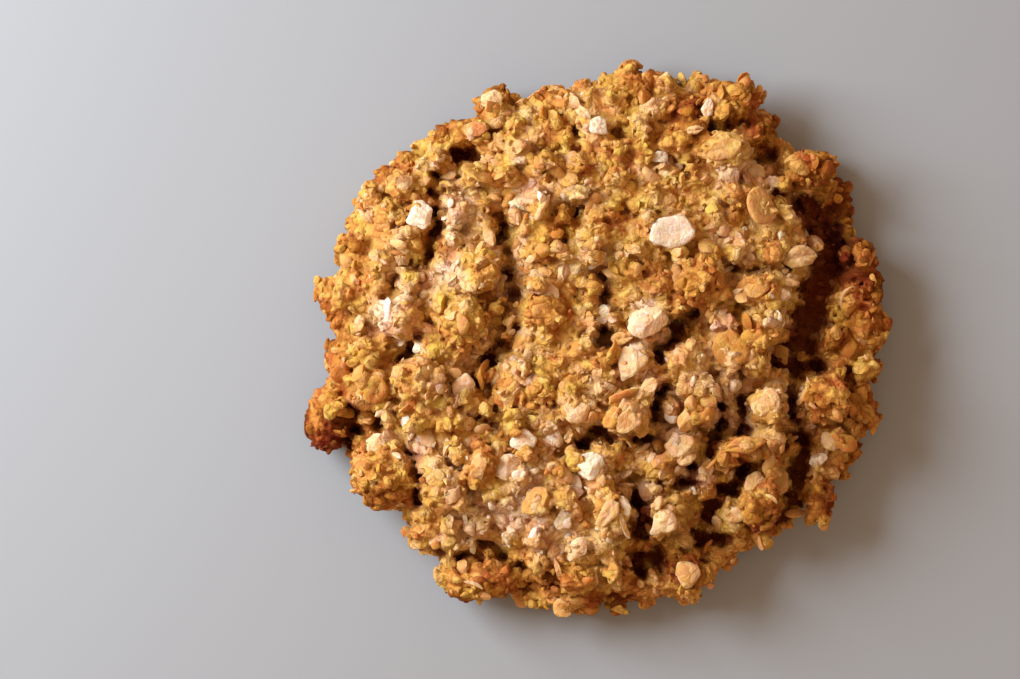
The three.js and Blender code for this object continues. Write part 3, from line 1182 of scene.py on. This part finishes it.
@dataclass
class Crumb:
    """The body of the biscuit: its solid's form, broken into clods of baked dough with crumbs fused on."""

    solid: Mesh
    view: View
    browning_and_shade: Browning
    crevices: Crevices
    piece: Piece = Piece("biscuit_crumb", BAKED_CRUMB, Slot.CRUMB, stands_for=NODE)
    most_triangles: int = 198_000
    foot: float = 0.5 * MM
    seed: int = 11

    # The cubes of the distance volumes, and how many of them are measured each way from a surface
    voxel: float = 0.28 * MM
    rough_voxel: float = 0.4 * MM
    band: int = 4

    # How far the solid is worn back for clods to cover it, low on the flank and on top
    flank_skin: float = 1.0 * MM
    top_skin: float = 2.3 * MM
    flank_height: tuple[float, float] = (5 * MM, 10 * MM)

    # Clods: their gaps, how unevenly they stand, the tone of each, and the swelling of lumps among them
    clods: Fragments = Fragments(4000, (3.0 * MM, 5.8 * MM), height=(0.65, 0.95), facets=9, lean=0.3)
    clod_gap: float = 3.2 * MM
    clod_jitter: float = 0.5 * MM
    flank_jitter: float = 0.3
    clod_chance: float = 0.1
    lump_detail: int = 4
    lump_swell: float = 0.05
    lump_swell_size: float = 1.1

    # Crumbs: most on the floors of crevices, few on their walls and in nooks, none under a whole oat
    crumbs: Fragments = Fragments(20000, (1.3 * MM, 3.4 * MM), (0.5, 0.95), (0.4, 0.8), proud=0.5)
    crumb_gap: float = 1.3 * MM
    chance: float = 0.08
    clod_nook: float = 2.0 * MM
    shut_crowding: tuple[float, float] = (0.5, 0.68)
    shut: float = 0.9
    wall_depth: float = 0.8 * MM
    wall_share: float = 0.15
    floor_depth: float = 2.8 * MM
    floor_share: float = 1.3
    oat_clear: float = 0.5
    core_bake: float = -0.1

    # Fine rubble on every face: its height, its size and how many cubes deep it reaches
    rubble: float = 0.16 * MM
    rubble_size: float = 1.3 * MM
    rubble_reach: int = 3

    # Painted shade in nooks and crevices, partly also the darker syrup there: how much, by how crowded and
    # how deep they are
    nook_reach: float = 1.2 * MM
    nook_crowding: tuple[float, float] = (0.55, 0.85)
    nook_shade: float = 0.65
    sunk_depth: tuple[float, float] = (0.8 * MM, 3.6 * MM)
    sunk_shade: float = 0.95

    # How far outside the clods things start that drop on them, and the deepest crevice that takes them
    drop: float = 4 * MM
    open_depth: float = 0.5 * MM

    # What building it leaves for the things that are set into it
    core: Mesh | None = None
    mesh: Mesh | None = None
    clod_tree: KDTree | None = None
    clod_tones: Array | None = None

    def skin(self, heights: Array) -> Array:
        """Gives how deep under the solid's surface the core lies, at heights over the floor."""
        return self.flank_skin + (self.top_skin - self.flank_skin) * eased(*self.flank_height, heights)

    def tone(self, points: Array) -> Array:
        """Gives the bake at points: how far they are browned, with one lump's painted shade, and the tone of
        their clod.
        """
        nearest = [self.clod_tree.find(point)[1] for point in points]
        return self.browning_and_shade.at(points, self.view) + self.clod_tones[nearest]

    def bakes(self, points: Array, rng: np.random.Generator) -> Array:
        """Draws how far the dough has baked at each of some points."""
        return self.tone(points) + self.chance * rng.normal(size=len(points))

    def dress(self) -> bpy.types.Object:
        """Builds the crumb and makes it the piece that stands for the solid."""
        return self.piece.dressed(self.build())

    def build(self) -> Mesh:
        """Fuses clods and crumbs onto the solid, worn back to a core.

        Returns:
            The crumb's surface, with a bake and a crevice value, its painted shade, at each corner.
        """
        rng = np.random.default_rng(self.seed)
        self.core = self.clodded(rng)
        places, normals, _ = self.core.sample(self.crumbs.count, rng, self.open_shares())
        kept = apart(places, self.crumb_gap)
        places, normals = places[kept], normals[kept]
        bits = replace(self.crumbs, count=len(kept)).laid(places, normals, self.bakes(places, rng), rng)
        self.core.values = {"bake": self.tone(self.core.points) + self.core_bake}
        heap = joined([self.core, bits])
        volume = Volume.around(heap, self.voxel, self.band * self.voxel)
        self.roughen(volume, rng)
        self.trim(volume)
        self.mesh = boxed(thinned(volume.surface(0.0), self.most_triangles))
        # The crevice value: painted shade for nooks and crevices
        self.mesh.values = {
            "bake": nearest_values(heap, self.mesh.points, "bake"),
            "crevice": self.painted_nook_shade(volume),
        }
        LOG.info("crumbs: %d, surface %d", len(kept), len(self.mesh.triangles))
        return self.mesh

    def clodded(self, rng: np.random.Generator) -> Mesh:
        """Breaks the solid into clods, with the crevices cut between them.

        Args:
            rng: the source of draws.

        Returns:
            The surface of the clods, with how crowded each corner is.
        """
        volume = Volume.around(self.solid, self.rough_voxel, 2 * self.top_skin)
        volume.distance += self.skin(volume.axis(2))
        worn = volume.surface(0.0)
        above = (worn.points[worn.triangles[:, 0], 2] > self.flank_skin + self.foot).astype(float)
        places, normals, _ = worn.sample(self.clods.count, rng, above)
        kept = apart(places, self.clod_gap)
        places, normals, count = places[kept], normals[kept], len(kept)
        self.clod_tree = grown_tree(places)
        self.clod_tones = self.clod_chance * rng.normal(size=count)
        upper = eased(*self.flank_height, places[:, 2])
        jitter = self.clod_jitter * (self.flank_jitter + (1 - self.flank_jitter) * upper)
        tops = self.skin(places[:, 2]) + jitter * rng.normal(size=count)
        bits = replace(self.clods, count=count).laid(places, normals, np.zeros(count), rng, tops)
        layers = [Mesh(worn.points, worn.triangles), Mesh(bits.points, bits.triangles)]
        layers += [self.lump(lump, rng) for lump in self.browning_and_shade.lumps]
        volume = Volume.around(joined(layers), self.rough_voxel, self.band * self.rough_voxel)
        self.sink(volume)
        self.trim(volume)
        LOG.info("clods: %d", count)
        surface = volume.surface(0.0)
        surface.values["crowding"] = volume.crowding(surface.points, self.clod_nook)
        return surface

    def lump(self, lump: Lump, rng: np.random.Generator) -> Mesh:
        """Makes one rounded lump.

        Args:
            lump: where it is and how large.
            rng: the source of draws.

        Returns:
            The lump as a closed mesh.
        """
        points, triangles = ball(self.lump_detail)
        swell = 1 + self.lump_swell * waves(points, self.lump_swell_size, rng)
        middle = self.view.spot(*lump.px, lump.height)
        return Mesh(points * swell[:, None] * np.array(lump.size) / 2 + middle, triangles)

    def open_shares(self) -> Array:
        """Tells how readily crumbs stick to each triangle of the clods.

        Returns:
            A share for each triangle.
        """
        first = self.core.triangles[:, 0]
        places = self.core.points[first]
        shut = self.shut * eased(*self.shut_crowding, self.core.values["crowding"][first])
        depth = self.crevices.depth(places[:, :2])
        shares = np.where(depth > self.wall_depth, self.wall_share, 1 - shut)
        shares = np.where(depth > self.floor_depth, self.floor_share, shares)
        shares = shares * (places[:, 2] > self.foot)
        for bit in SHOWN:
            if bit.form is Form.OAT:
                shares[self.view.near(bit.px, places, self.oat_clear * max(bit.size_px))] = 0
        return shares

    def painted_nook_shade(self, volume: Volume) -> Array:
        """Tells how much painted shade the crumb gets in its nooks and crevices, partly also for their darker
        syrup.

        Args:
            volume: the crumb's distances.

        Returns:
            A share for each corner of the crumb.
        """
        points = self.mesh.points
        nooks = eased(*self.nook_crowding, volume.crowding(points, self.nook_reach))
        sunk = eased(*self.sunk_depth, self.crevices.depth(points[:, :2])) * (points[:, 2] > self.foot)
        return np.maximum(self.nook_shade * nooks, self.sunk_shade * sunk)

    def sink(self, volume: Volume) -> None:
        """Lowers the surface by the depth of the crevices.

        Args:
            volume: the clods' distances, which it changes.
        """
        flat = np.stack(np.broadcast_arrays(volume.axis(0)[:, :, 0], volume.axis(1)[:, :, 0]), axis=-1)
        last = volume.distance.shape[2] - 1
        tops = np.where(volume.distance < 0, volume.axis(2), 0).max(axis=2)
        depth = np.minimum(self.crevices.depth(flat), np.maximum(tops - self.crevices.floor, 0))
        levels = np.arange(last + 1) + depth[..., None] / volume.voxel
        below = np.minimum(levels.astype(int), last)
        share = np.minimum(levels - below, 1)
        low = np.take_along_axis(volume.distance, below, axis=2)
        high = np.take_along_axis(volume.distance, np.minimum(below + 1, last), axis=2)
        volume.distance = (low + share * (high - low)).astype(np.float32)

    def landings(self, count: int, rng: np.random.Generator) -> tuple[Array, Array]:
        """Drops points onto the crumb from outside.

        Args:
            count: how many points.
            rng: the source of draws.

        Returns:
            Where they land, and the normals of the clods there.
        """
        first = self.core.points[self.core.triangles[:, 0]]
        above = (first[:, 2] > self.foot) * (self.crevices.depth(first[:, :2]) < self.open_depth)
        starts, normals, _ = self.core.sample(count, rng, above)
        tree = self.mesh.tree()
        outside = starts + self.drop * normals
        hits = [tree.ray_cast(start, -normal)[0] for start, normal in zip(outside, normals)]
        landed = np.array([hit is not None for hit in hits])
        return np.array([hit[:] for hit in hits if hit is not None]), normals[landed]

    def roughen(self, volume: Volume, rng: np.random.Generator) -> None:
        """Breaks up the smooth faces of the crumb.

        Args:
            volume: the crumb's distances, which it changes.
            rng: the source of draws.
        """
        near = np.argwhere(np.abs(volume.distance) < self.rubble_reach * volume.voxel)
        places = ((near + volume.corner) * volume.voxel).astype(np.float32)
        volume.distance[tuple(near.T)] += self.rubble * waves(places, self.rubble_size, rng)

    def trim(self, volume: Volume) -> None:
        """Keeps the crumb inside the solid's box, flat where it rests.

        Args:
            volume: the crumb's distances, which it changes.
        """
        low, high = CAD_BOX
        for axis in range(3):
            place = volume.axis(axis)
            np.maximum(volume.distance, low[axis] - place, out=volume.distance)
            np.maximum(volume.distance, place - high[axis], out=volume.distance)


class Topping:
    """Something that is set into the crumb, as one piece of the scene."""

    piece: Piece

    def build(self, crumb: Crumb) -> Mesh:
        """Builds its mesh on the crumb, which each kind does in its own way."""
        raise NotImplementedError

    def dress(self, crumb: Crumb) -> bpy.types.Object:
        """Builds its mesh and makes it a piece of the scene."""
        return self.piece.dressed(self.build(crumb))


@dataclass(frozen=True)
class Grains(Topping):
    """Small bits of one kind that stick to the crumb.

    Attributes:
        piece: the piece they make.
        kind: their shape.
        bake: how much paler they are than the crumb.
        spread: how far that varies.
        seed: starts their draws.
        gap: the least distance between two of them.
        shares: how readily they stick in the open and in the nooks where the painted shade is deepest.
        oat_clear: how near the middle of a whole oat they come, as a share of its breadth.
        bit_clear: the same for other bits that are set one by one.
    """

    piece: Piece
    kind: Fragments
    bake: float
    spread: float
    seed: int
    gap: float = 0.9 * MM
    shares: tuple[float, float] = (1.02, 0.02)
    oat_clear: float = 0.5
    bit_clear: float = 0.38

    def build(self, crumb: Crumb) -> Mesh:
        """Sticks the bits to the crumb, by their share in the open and in its nooks.

        Args:
            crumb: the crumb they stick to.

        Returns:
            The bits as one mesh.
        """
        rng = np.random.default_rng(self.seed)
        body = crumb.mesh
        corners = body.triangles
        # The crumb's crevice value, its painted shade, steers where the bits stick
        depth = body.values["crevice"][corners].mean(axis=1)
        weight = np.interp(depth, (0, 1), self.shares) * (body.points[corners[:, 0], 2] > crumb.foot)
        places, normals, chosen = body.sample(self.kind.count, rng, weight)
        clear = np.ones(len(places), bool)
        for bit in SHOWN:
            share = self.oat_clear if bit.form is Form.OAT else self.bit_clear
            clear &= ~crumb.view.near(bit.px, places, share * min(bit.size_px))
        places, normals, depth = places[clear], normals[clear], depth[chosen[clear]]
        kept = apart(places, self.gap)
        places, normals, depth = places[kept], normals[kept], depth[kept]
        bakes = crumb.tone(places) + self.bake + self.spread * rng.normal(size=len(kept))
        bits = replace(self.kind, count=len(kept)).laid(places, normals, bakes, rng)
        # Each bit takes on the painted shade of the crumb under it
        bits.values["crevice"] = np.repeat(depth, len(bits.points) // len(kept))
        return boxed(bits)


GRAINS = (
    Grains(
        piece=Piece("dough_grains", BAKED_CRUMB, Slot.CRUMB, BROKEN),
        kind=Fragments(2300, (1.2 * MM, 3.4 * MM), (0.5, 0.95), (0.35, 0.75), cut=(0.44, 0.84), proud=0.5),
        bake=0.02,
        spread=0.1,
        seed=21,
    ),
    Grains(
        piece=Piece("oat_grains", ROLLED_OAT, Slot.OAT, BROKEN),
        kind=Fragments(1100, (1.3 * MM, 3.8 * MM), (0.45, 0.9), (0.25, 0.55), cut=(0.44, 0.84), proud=0.5),
        bake=0.06,
        spread=0.11,
        seed=22,
    ),
    Grains(
        piece=Piece("coconut_grains", DRIED_COCONUT, Slot.COCONUT, BROKEN),
        kind=Fragments(350, (0.9 * MM, 2.4 * MM), cut=(0.45, 0.85)),
        bake=0.06,
        spread=0.14,
        seed=23,
    ),
    Grains(
        piece=Piece("fine_crumbs", BAKED_CRUMB, Slot.CRUMB, BROKEN),
        kind=Fragments(6000, (0.6 * MM, 1.4 * MM), cut=(0.5, 0.9), detail=1),
        bake=0.0,
        spread=0.1,
        seed=24,
        gap=0.6 * MM,
        shares=(0.15, 1.0),
    ),
)


# How far from a bit's middle the crumb is felt, as a share of its breadth, and how high it rests there
RESTS = {Form.OAT: (0.45, 0.95), Form.CHIP: (0.3, 0.85), Form.CHUNK: (0.3, 0.85)}

# How much a bit keeps upright against the slope under it
UPRIGHT = 1.2


def settled(bits: list[Shown], crumb: Crumb) -> tuple[Array, Array]:
    """Rests bits on the crumb where the photograph shows them.

    Args:
        bits: the bits.
        crumb: the crumb that carries them.

    Returns:
        A place on the crumb for each, and frames whose columns are along, across and upright.
    """
    tree = crumb.mesh.tree()
    view = crumb.view
    steps = list(product((-1, 0, 1), repeat=2))
    places, frames = [], []
    for bit in bits:
        share, rest = RESTS[bit.form]
        reach = share * min(bit.size_px)
        pixels = [(bit.px[0] + dx * reach, bit.px[1] + dy * reach) for dx, dy in steps]
        hits = [tree.ray_cast(view.eye(), view.ray(*px)) for px in pixels]
        hits = np.array([[*hit[0], *hit[1]] for hit in hits if hit[0] is not None])
        places.append(view.spot(*bit.px, np.quantile(hits[:, 2], rest)))
        upright = unit(hits[:, 3:].mean(axis=0) + np.array([0, 0, UPRIGHT]))
        turn = math.radians(bit.turn)
        along = np.array([math.cos(turn), math.sin(turn), 0.0])
        along = unit(along - upright * along.dot(upright))
        frames.append(np.stack([along, np.cross(upright, along), upright], axis=-1))
    return np.array(places), np.array(frames)


@dataclass(frozen=True)
class Oats(Topping):
    """Rolled oats: thin ovals with a crease along them and a ragged rim, some broken, set in the crumb."""

    piece: Piece = Piece("oat_flakes", ROLLED_OAT, Slot.OAT)
    seed: int = 31

    # The mesh: rings out from the middle, and corners in each
    rings: tuple[float, ...] = (0.35, 0.65, 0.88, 1.0)
    sides: int = 18

    # The rim: how ragged it is, at least and where broken, its ripples, and the chords that break it
    ragged: float = 0.07
    least_ragged: float = 0.25
    ripples: tuple[int, ...] = (2, 3, 5, 7)
    breaks: int = 4
    break_from: float = 1.1
    break_depth: float = 0.55

    # The faces: thickness, the crease along the middle, the cup, and how rough whole and broken ones are
    thickness: tuple[float, float] = (0.6 * MM, 1.0 * MM)
    crease: float = 0.3
    crease_width: float = 0.16
    cup: float = 0.3 * MM
    rough: float = 0.03
    broken_rough: float = 0.1

    # Oats that are set one by one: how broken whole and broken ones are, and how proud they lie
    whole: float = 0.25
    chipped: float = 0.95
    proud: float = 0.15 * MM

    # Oats that are strewn: how many, their sizes, how broken they are, how they lie, and their bake
    strewn: int = 26
    length: tuple[float, float] = (2.6 * MM, 5.2 * MM)
    breadth: tuple[float, float] = (0.6, 0.9)
    strewn_broken: tuple[float, float] = (0.4, 1.0)
    lean: float = 0.15
    sink: float = 0.4 * MM
    bake: tuple[float, float] = (-0.05, 0.12)

    def cap(self, middle: int, rims: list[int]) -> list[Array]:
        """Lists the triangles of one face.

        Args:
            middle: the number of the middle corner.
            rims: the number of each ring's first corner, from the middle out.

        Returns:
            Triangles, from the middle out.
        """
        here = np.arange(self.sides)
        step = np.roll(here, -1)
        faces = [np.stack([np.full(self.sides, middle), rims[0] + here, rims[0] + step], axis=-1)]
        for a, b in zip(rims, rims[1:]):
            faces.append(np.stack([a + here, b + here, b + step], axis=-1))
            faces.append(np.stack([a + here, b + step, a + step], axis=-1))
        return faces

    def template(self) -> tuple[Array, Array, Array]:
        """Lays out a flat oat.

        Returns:
            Its corners on a unit disc, the side that each is on, from -1 to 1, and its triangles.
        """
        turns = np.arange(self.sides) * 2 * np.pi / self.sides
        circle = np.stack([np.cos(turns), np.sin(turns)], axis=-1)
        disc = np.concatenate([np.zeros((1, 2)), *(r * circle for r in self.rings)])
        inner = np.concatenate([np.zeros((1, 2)), *(r * circle for r in self.rings[:-1])])
        side = np.concatenate([np.ones(len(inner)), np.zeros(self.sides), -np.ones(len(inner))])
        count = len(self.rings)
        top = [1 + i * self.sides for i in range(count)]
        low = len(disc)
        under = [low + 1 + i * self.sides for i in range(count - 1)] + [top[-1]]
        faces = np.concatenate(self.cap(0, top) + [f[:, ::-1] for f in self.cap(low, under)])
        return np.concatenate([disc, inner]), side, faces

    def shapes(self, size: Array, broken: Array, rng: np.random.Generator) -> tuple[Array, Array]:
        """Shapes oats of given sizes.

        Args:
            size: each oat's length and breadth.
            broken: how much of each is broken away.
            rng: the source of draws.

        Returns:
            The corners of every oat about its own middle, and one oat's triangles.
        """
        disc, side, triangles = self.template()
        count = len(size)
        out = np.hypot(*disc.T)
        around = np.arctan2(disc[:, 1], disc[:, 0])
        rim = np.ones((count, len(disc)))
        for ripples in self.ripples:
            phase = rng.uniform(0, 2 * np.pi, size=(count, 1))
            swing = self.ragged * (self.least_ragged + broken[:, None]) * rng.normal(size=(count, 1))
            rim += swing * np.sin(ripples * around + phase)
        flat = disc[None] * (1 + (rim - 1) * out)[..., None]
        for _ in range(self.breaks):
            chord = unit(rng.normal(size=(count, 1, 2)))
            kept = self.break_from - self.break_depth * broken[:, None] * rng.random((count, 1))
            over = np.maximum((flat * chord).sum(-1) - kept, 0)
            flat -= over[..., None] * chord
        thick = rng.uniform(*self.thickness, size=(count, 1))
        height = side * thick / 2 * np.sqrt(np.maximum(1 - out**4, 0))
        furrow = np.exp(-((flat[..., 1] / self.crease_width) ** 2)) * np.maximum(side, 0)
        height -= self.crease * thick * furrow
        height += rng.normal(size=(count, 1)) * self.cup * flat[..., 0] ** 2
        rough = (self.rough + self.broken_rough * broken[:, None]) * thick
        height += rough * rng.normal(size=(count, len(disc))) * (side != 0)
        half = size[:, None, :] / 2
        return np.concatenate([flat * half, height[..., None]], axis=-1), triangles

    def shown(self, crumb: Crumb, rng: np.random.Generator) -> Mesh:
        """Sets the oats that the photograph shows where its pixels see the crumb.

        Args:
            crumb: the crumb they lie on.
            rng: the source of draws.

        Returns:
            The oats as one mesh.
        """
        oats = [bit for bit in SHOWN if bit.form in (Form.OAT, Form.CHIP)]
        size = np.array([bit.size_px for bit in oats]) * crumb.view.metres_per_px
        broken = np.array([self.whole if bit.form is Form.OAT else self.chipped for bit in oats])
        shapes, triangles = self.shapes(size, broken, rng)
        places, frames = settled(oats, crumb)
        bakes = np.array([bit.bake for bit in oats])
        return copies(shapes, triangles, frames, places + self.proud * frames[..., 2], bakes)

    def scattered(self, crumb: Crumb, rng: np.random.Generator) -> Mesh:
        """Strews more oats over the crumb.

        Args:
            crumb: the crumb they lie on.
            rng: the source of draws.

        Returns:
            The oats as one mesh.
        """
        places, normals = crumb.landings(self.strewn, rng)
        count = len(places)
        length = rng.uniform(*self.length, size=count)
        size = np.stack([length, length * rng.uniform(*self.breadth, size=count)], axis=-1)
        shapes, triangles = self.shapes(size, rng.uniform(*self.strewn_broken, size=count), rng)
        frames = frames_on(normals, self.lean, rng)
        bakes = crumb.tone(places) + rng.normal(*self.bake, size=count)
        return copies(shapes, triangles, frames, places - self.sink * normals, bakes)

    def build(self, crumb: Crumb) -> Mesh:
        """Builds all the oats."""
        rng = np.random.default_rng(self.seed)
        return boxed(joined([self.shown(crumb, rng), self.scattered(crumb, rng)]))


@dataclass(frozen=True)
class Chunks(Topping):
    """Thick pale bits that the photograph shows one by one.

    Attributes:
        piece: the piece they make.
        thickness: their height, as a share of their breadth.
        facets: how many flat sides each has.
        detail: the subdivisions of the balls they are broken from.
        swell: how much larger they start, to make up for what is broken off.
        bumps: how high their bumps are, as a share of their size, and how far apart.
        sink: how deep they lie.
        seed: starts their draws.
    """

    piece: Piece = Piece("oat_chunks", OAT_CHUNK, Slot.OAT, BROKEN)
    thickness: float = 0.55
    facets: int = 14
    detail: int = 4
    swell: float = 1.05
    bumps: tuple[tuple[float, float], ...] = ((0.03, 2.2 * MM), (0.025, 0.9 * MM))
    sink: float = 0.35 * MM
    seed: int = 41

    def build(self, crumb: Crumb) -> Mesh:
        """Sets the chunks into the crumb.

        Args:
            crumb: the crumb they lie in.

        Returns:
            The chunks as one mesh.
        """
        rng = np.random.default_rng(self.seed)
        bits = [bit for bit in SHOWN if bit.form is Form.CHUNK]
        flat = (self.thickness, self.thickness)
        kind = Fragments(len(bits), (2.0, 2.0), (1.0, 1.0), flat, facets=self.facets, detail=self.detail)
        shapes, triangles = kind.shapes(rng)
        size = np.array([(*bit.size_px, min(bit.size_px)) for bit in bits]) * crumb.view.metres_per_px
        shapes = shapes * size[:, None, :] / 2 * self.swell
        bumps = np.ones(shapes.shape[:-1], np.float32)
        for height, gap in self.bumps:
            bumps += height * waves(shapes, gap, rng)
        shapes *= bumps[..., None]
        places, frames = settled(bits, crumb)
        bakes = np.array([bit.bake for bit in bits])
        return boxed(copies(shapes, triangles, frames, places - self.sink * frames[..., 2], bakes))


@dataclass(frozen=True)
class Shreds(Topping):
    """Shredded coconut: narrow bent strips, half sunk in the crumb.

    Attributes:
        piece: the piece they make.
        count: how many.
        length: the least length and the greatest.
        breadth: the least breadth and the greatest.
        thickness: how thick they are.
        bend: how far they bend, as a share of their length.
        bend_rest: how much of the bend lies below the middle of a shred.
        tip: how blunt their ends are.
        stations: the cross-sections along each.
        lean: how far they lean.
        sink: how deep they lie.
        bake: how much paler they are than the crumb, and how far that varies.
        seed: starts their draws.
    """

    piece: Piece = Piece("coconut_shreds", DRIED_COCONUT, Slot.COCONUT, BROKEN)
    count: int = 50
    length: tuple[float, float] = (1.8 * MM, 4.4 * MM)
    breadth: tuple[float, float] = (0.4 * MM, 0.8 * MM)
    thickness: float = 0.35 * MM
    bend: float = 0.12
    bend_rest: float = 0.3
    tip: float = 0.05
    stations: int = 6
    lean: float = 0.15
    sink: float = 0.05 * MM
    bake: tuple[float, float] = (0.12, 0.14)
    seed: int = 51

    def strip(self) -> Array:
        """Lists the triangles of one shred.

        Returns:
            The triangles of its four sides, and then of its two ends.
        """
        quads = []
        last = 4 * (self.stations - 1)
        for start, a in product(range(0, last, 4), range(4)):
            b = (a + 1) % 4
            quads.append((start + a, start + b, start + 4 + b, start + 4 + a))
        quads += [(3, 2, 1, 0), (last, last + 1, last + 2, last + 3)]
        return np.array([t for a, b, c, d in quads for t in ((a, c, b), (a, d, c))])

    def build(self, crumb: Crumb) -> Mesh:
        """Strews the shreds over the crumb.

        Args:
            crumb: the crumb they lie on.

        Returns:
            The shreds as one mesh.
        """
        rng = np.random.default_rng(self.seed)
        places, normals = crumb.landings(self.count, rng)
        count = len(places)
        along = np.linspace(-0.5, 0.5, self.stations)
        narrowing = np.sqrt(1 + self.tip - (2 * along) ** 4)
        corner = np.array([(-0.5, -0.5), (0.5, -0.5), (0.5, 0.5), (-0.5, 0.5)])
        length = rng.uniform(*self.length, size=(count, 1, 1))
        breadth = rng.uniform(*self.breadth, size=(count, 1, 1)) * narrowing[None, :, None]
        sway, arch = self.bend * rng.normal(size=(2, count, 1, 1)) * length
        bow = (4 * along**2 - self.bend_rest)[None, :, None]
        x = length * along[None, :, None] + 0 * corner[:, 0]
        y = breadth * corner[:, 0] + sway * bow
        z = self.thickness * corner[:, 1] - np.abs(arch) * bow
        shapes = np.stack([x, y, z], axis=-1).reshape(count, -1, 3)
        frames = frames_on(normals, self.lean, rng)
        bakes = crumb.tone(places) + rng.normal(*self.bake, size=count)
        return boxed(copies(shapes, self.strip(), frames, places - self.sink * normals, bakes))


@dataclass(frozen=True)
class Painted:
    """A finish of plain, even paint."""

    name: str
    colour: str
    roughness: float

    def material(self) -> bpy.types.Material:
        """Makes the material.

        Returns:
            A material of one colour.
        """
        material = bpy.data.materials.new(self.name)
        material.use_nodes = True
        shader = material.node_tree.nodes["Principled BSDF"]
        shader.inputs["Base Color"].default_value = linear(self.colour)
        shader.inputs["Roughness"].default_value = self.roughness
        return material


# Matte paint: an even pale grey without gloss, which takes a soft shadow
FLOOR_PAINT = Painted("matte paint", "9b9fa4", 0.8)


@dataclass(frozen=True)
class Studio:
    """A plain pale floor, one large soft light from the upper left and a weak fill."""

    floor_side: float = 3.0
    key_place: tuple[float, float, float] = (-0.28, 0.125, 0.21)
    key_side: float = 0.22
    key_watts: float = 2.52
    key_colour: str = "eef7ff"
    fill_colour: str = "ffd6b0"
    fill_strength: float = 0.58

    def build(self) -> None:
        """Adds the floor and the lights."""
        bpy.context.scene.view_settings.view_transform = "Standard"
        self.lay_floor()
        self.hang_key()
        self.spread_fill()

    def lay_floor(self) -> None:
        """Adds the floor, which is stage and not part of the biscuit."""
        half = self.floor_side / 2
        corners = [(-half, -half, 0), (half, -half, 0), (half, half, 0), (-half, half, 0)]
        data = bpy.data.meshes.new("floor")
        data.from_pydata(corners, [], [(0, 1, 2, 3)])
        data.materials.append(FLOOR_PAINT.material())
        floor = bpy.data.objects.new("floor", data)
        bpy.context.scene.collection.objects.link(floor)

    def hang_key(self) -> None:
        """Adds the large light, turned to the biscuit."""
        light = bpy.data.lights.new("key", "AREA")
        light.energy = self.key_watts
        light.size = self.key_side
        light.color = linear(self.key_colour)[:3]
        key = bpy.data.objects.new("key", light)
        key.location = self.key_place
        key.rotation_euler = (-Vector(self.key_place)).to_track_quat("-Z", "Y").to_euler()
        bpy.context.scene.collection.objects.link(key)

    def spread_fill(self) -> None:
        """Adds the even light from all round."""
        world = bpy.data.worlds.new("fill")
        world.use_nodes = True
        sky = world.node_tree.nodes["Background"]
        sky.inputs["Color"].default_value = linear(self.fill_colour)
        sky.inputs["Strength"].default_value = self.fill_strength
        bpy.context.scene.world = world


def main() -> None:
    """Builds the camera, the studio and the biscuit."""
    logging.basicConfig(level=logging.INFO, format="%(message)s")
    view = View()
    view.make_camera()
    Studio().build()
    solid = mesh_of(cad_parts[NODE].data)
    tree = solid.tree()
    browning_and_shade = Browning(LUMPS + tuple(knob.lump(tree, view) for knob in KNOBS))
    crumb = Crumb(solid, view, browning_and_shade, Crevices(view))
    crumb.dress()
    for topping in (*GRAINS, Oats(), Chunks(), Shreds()):
        topping.dress(crumb)


if __name__ == "__main__":
    main()
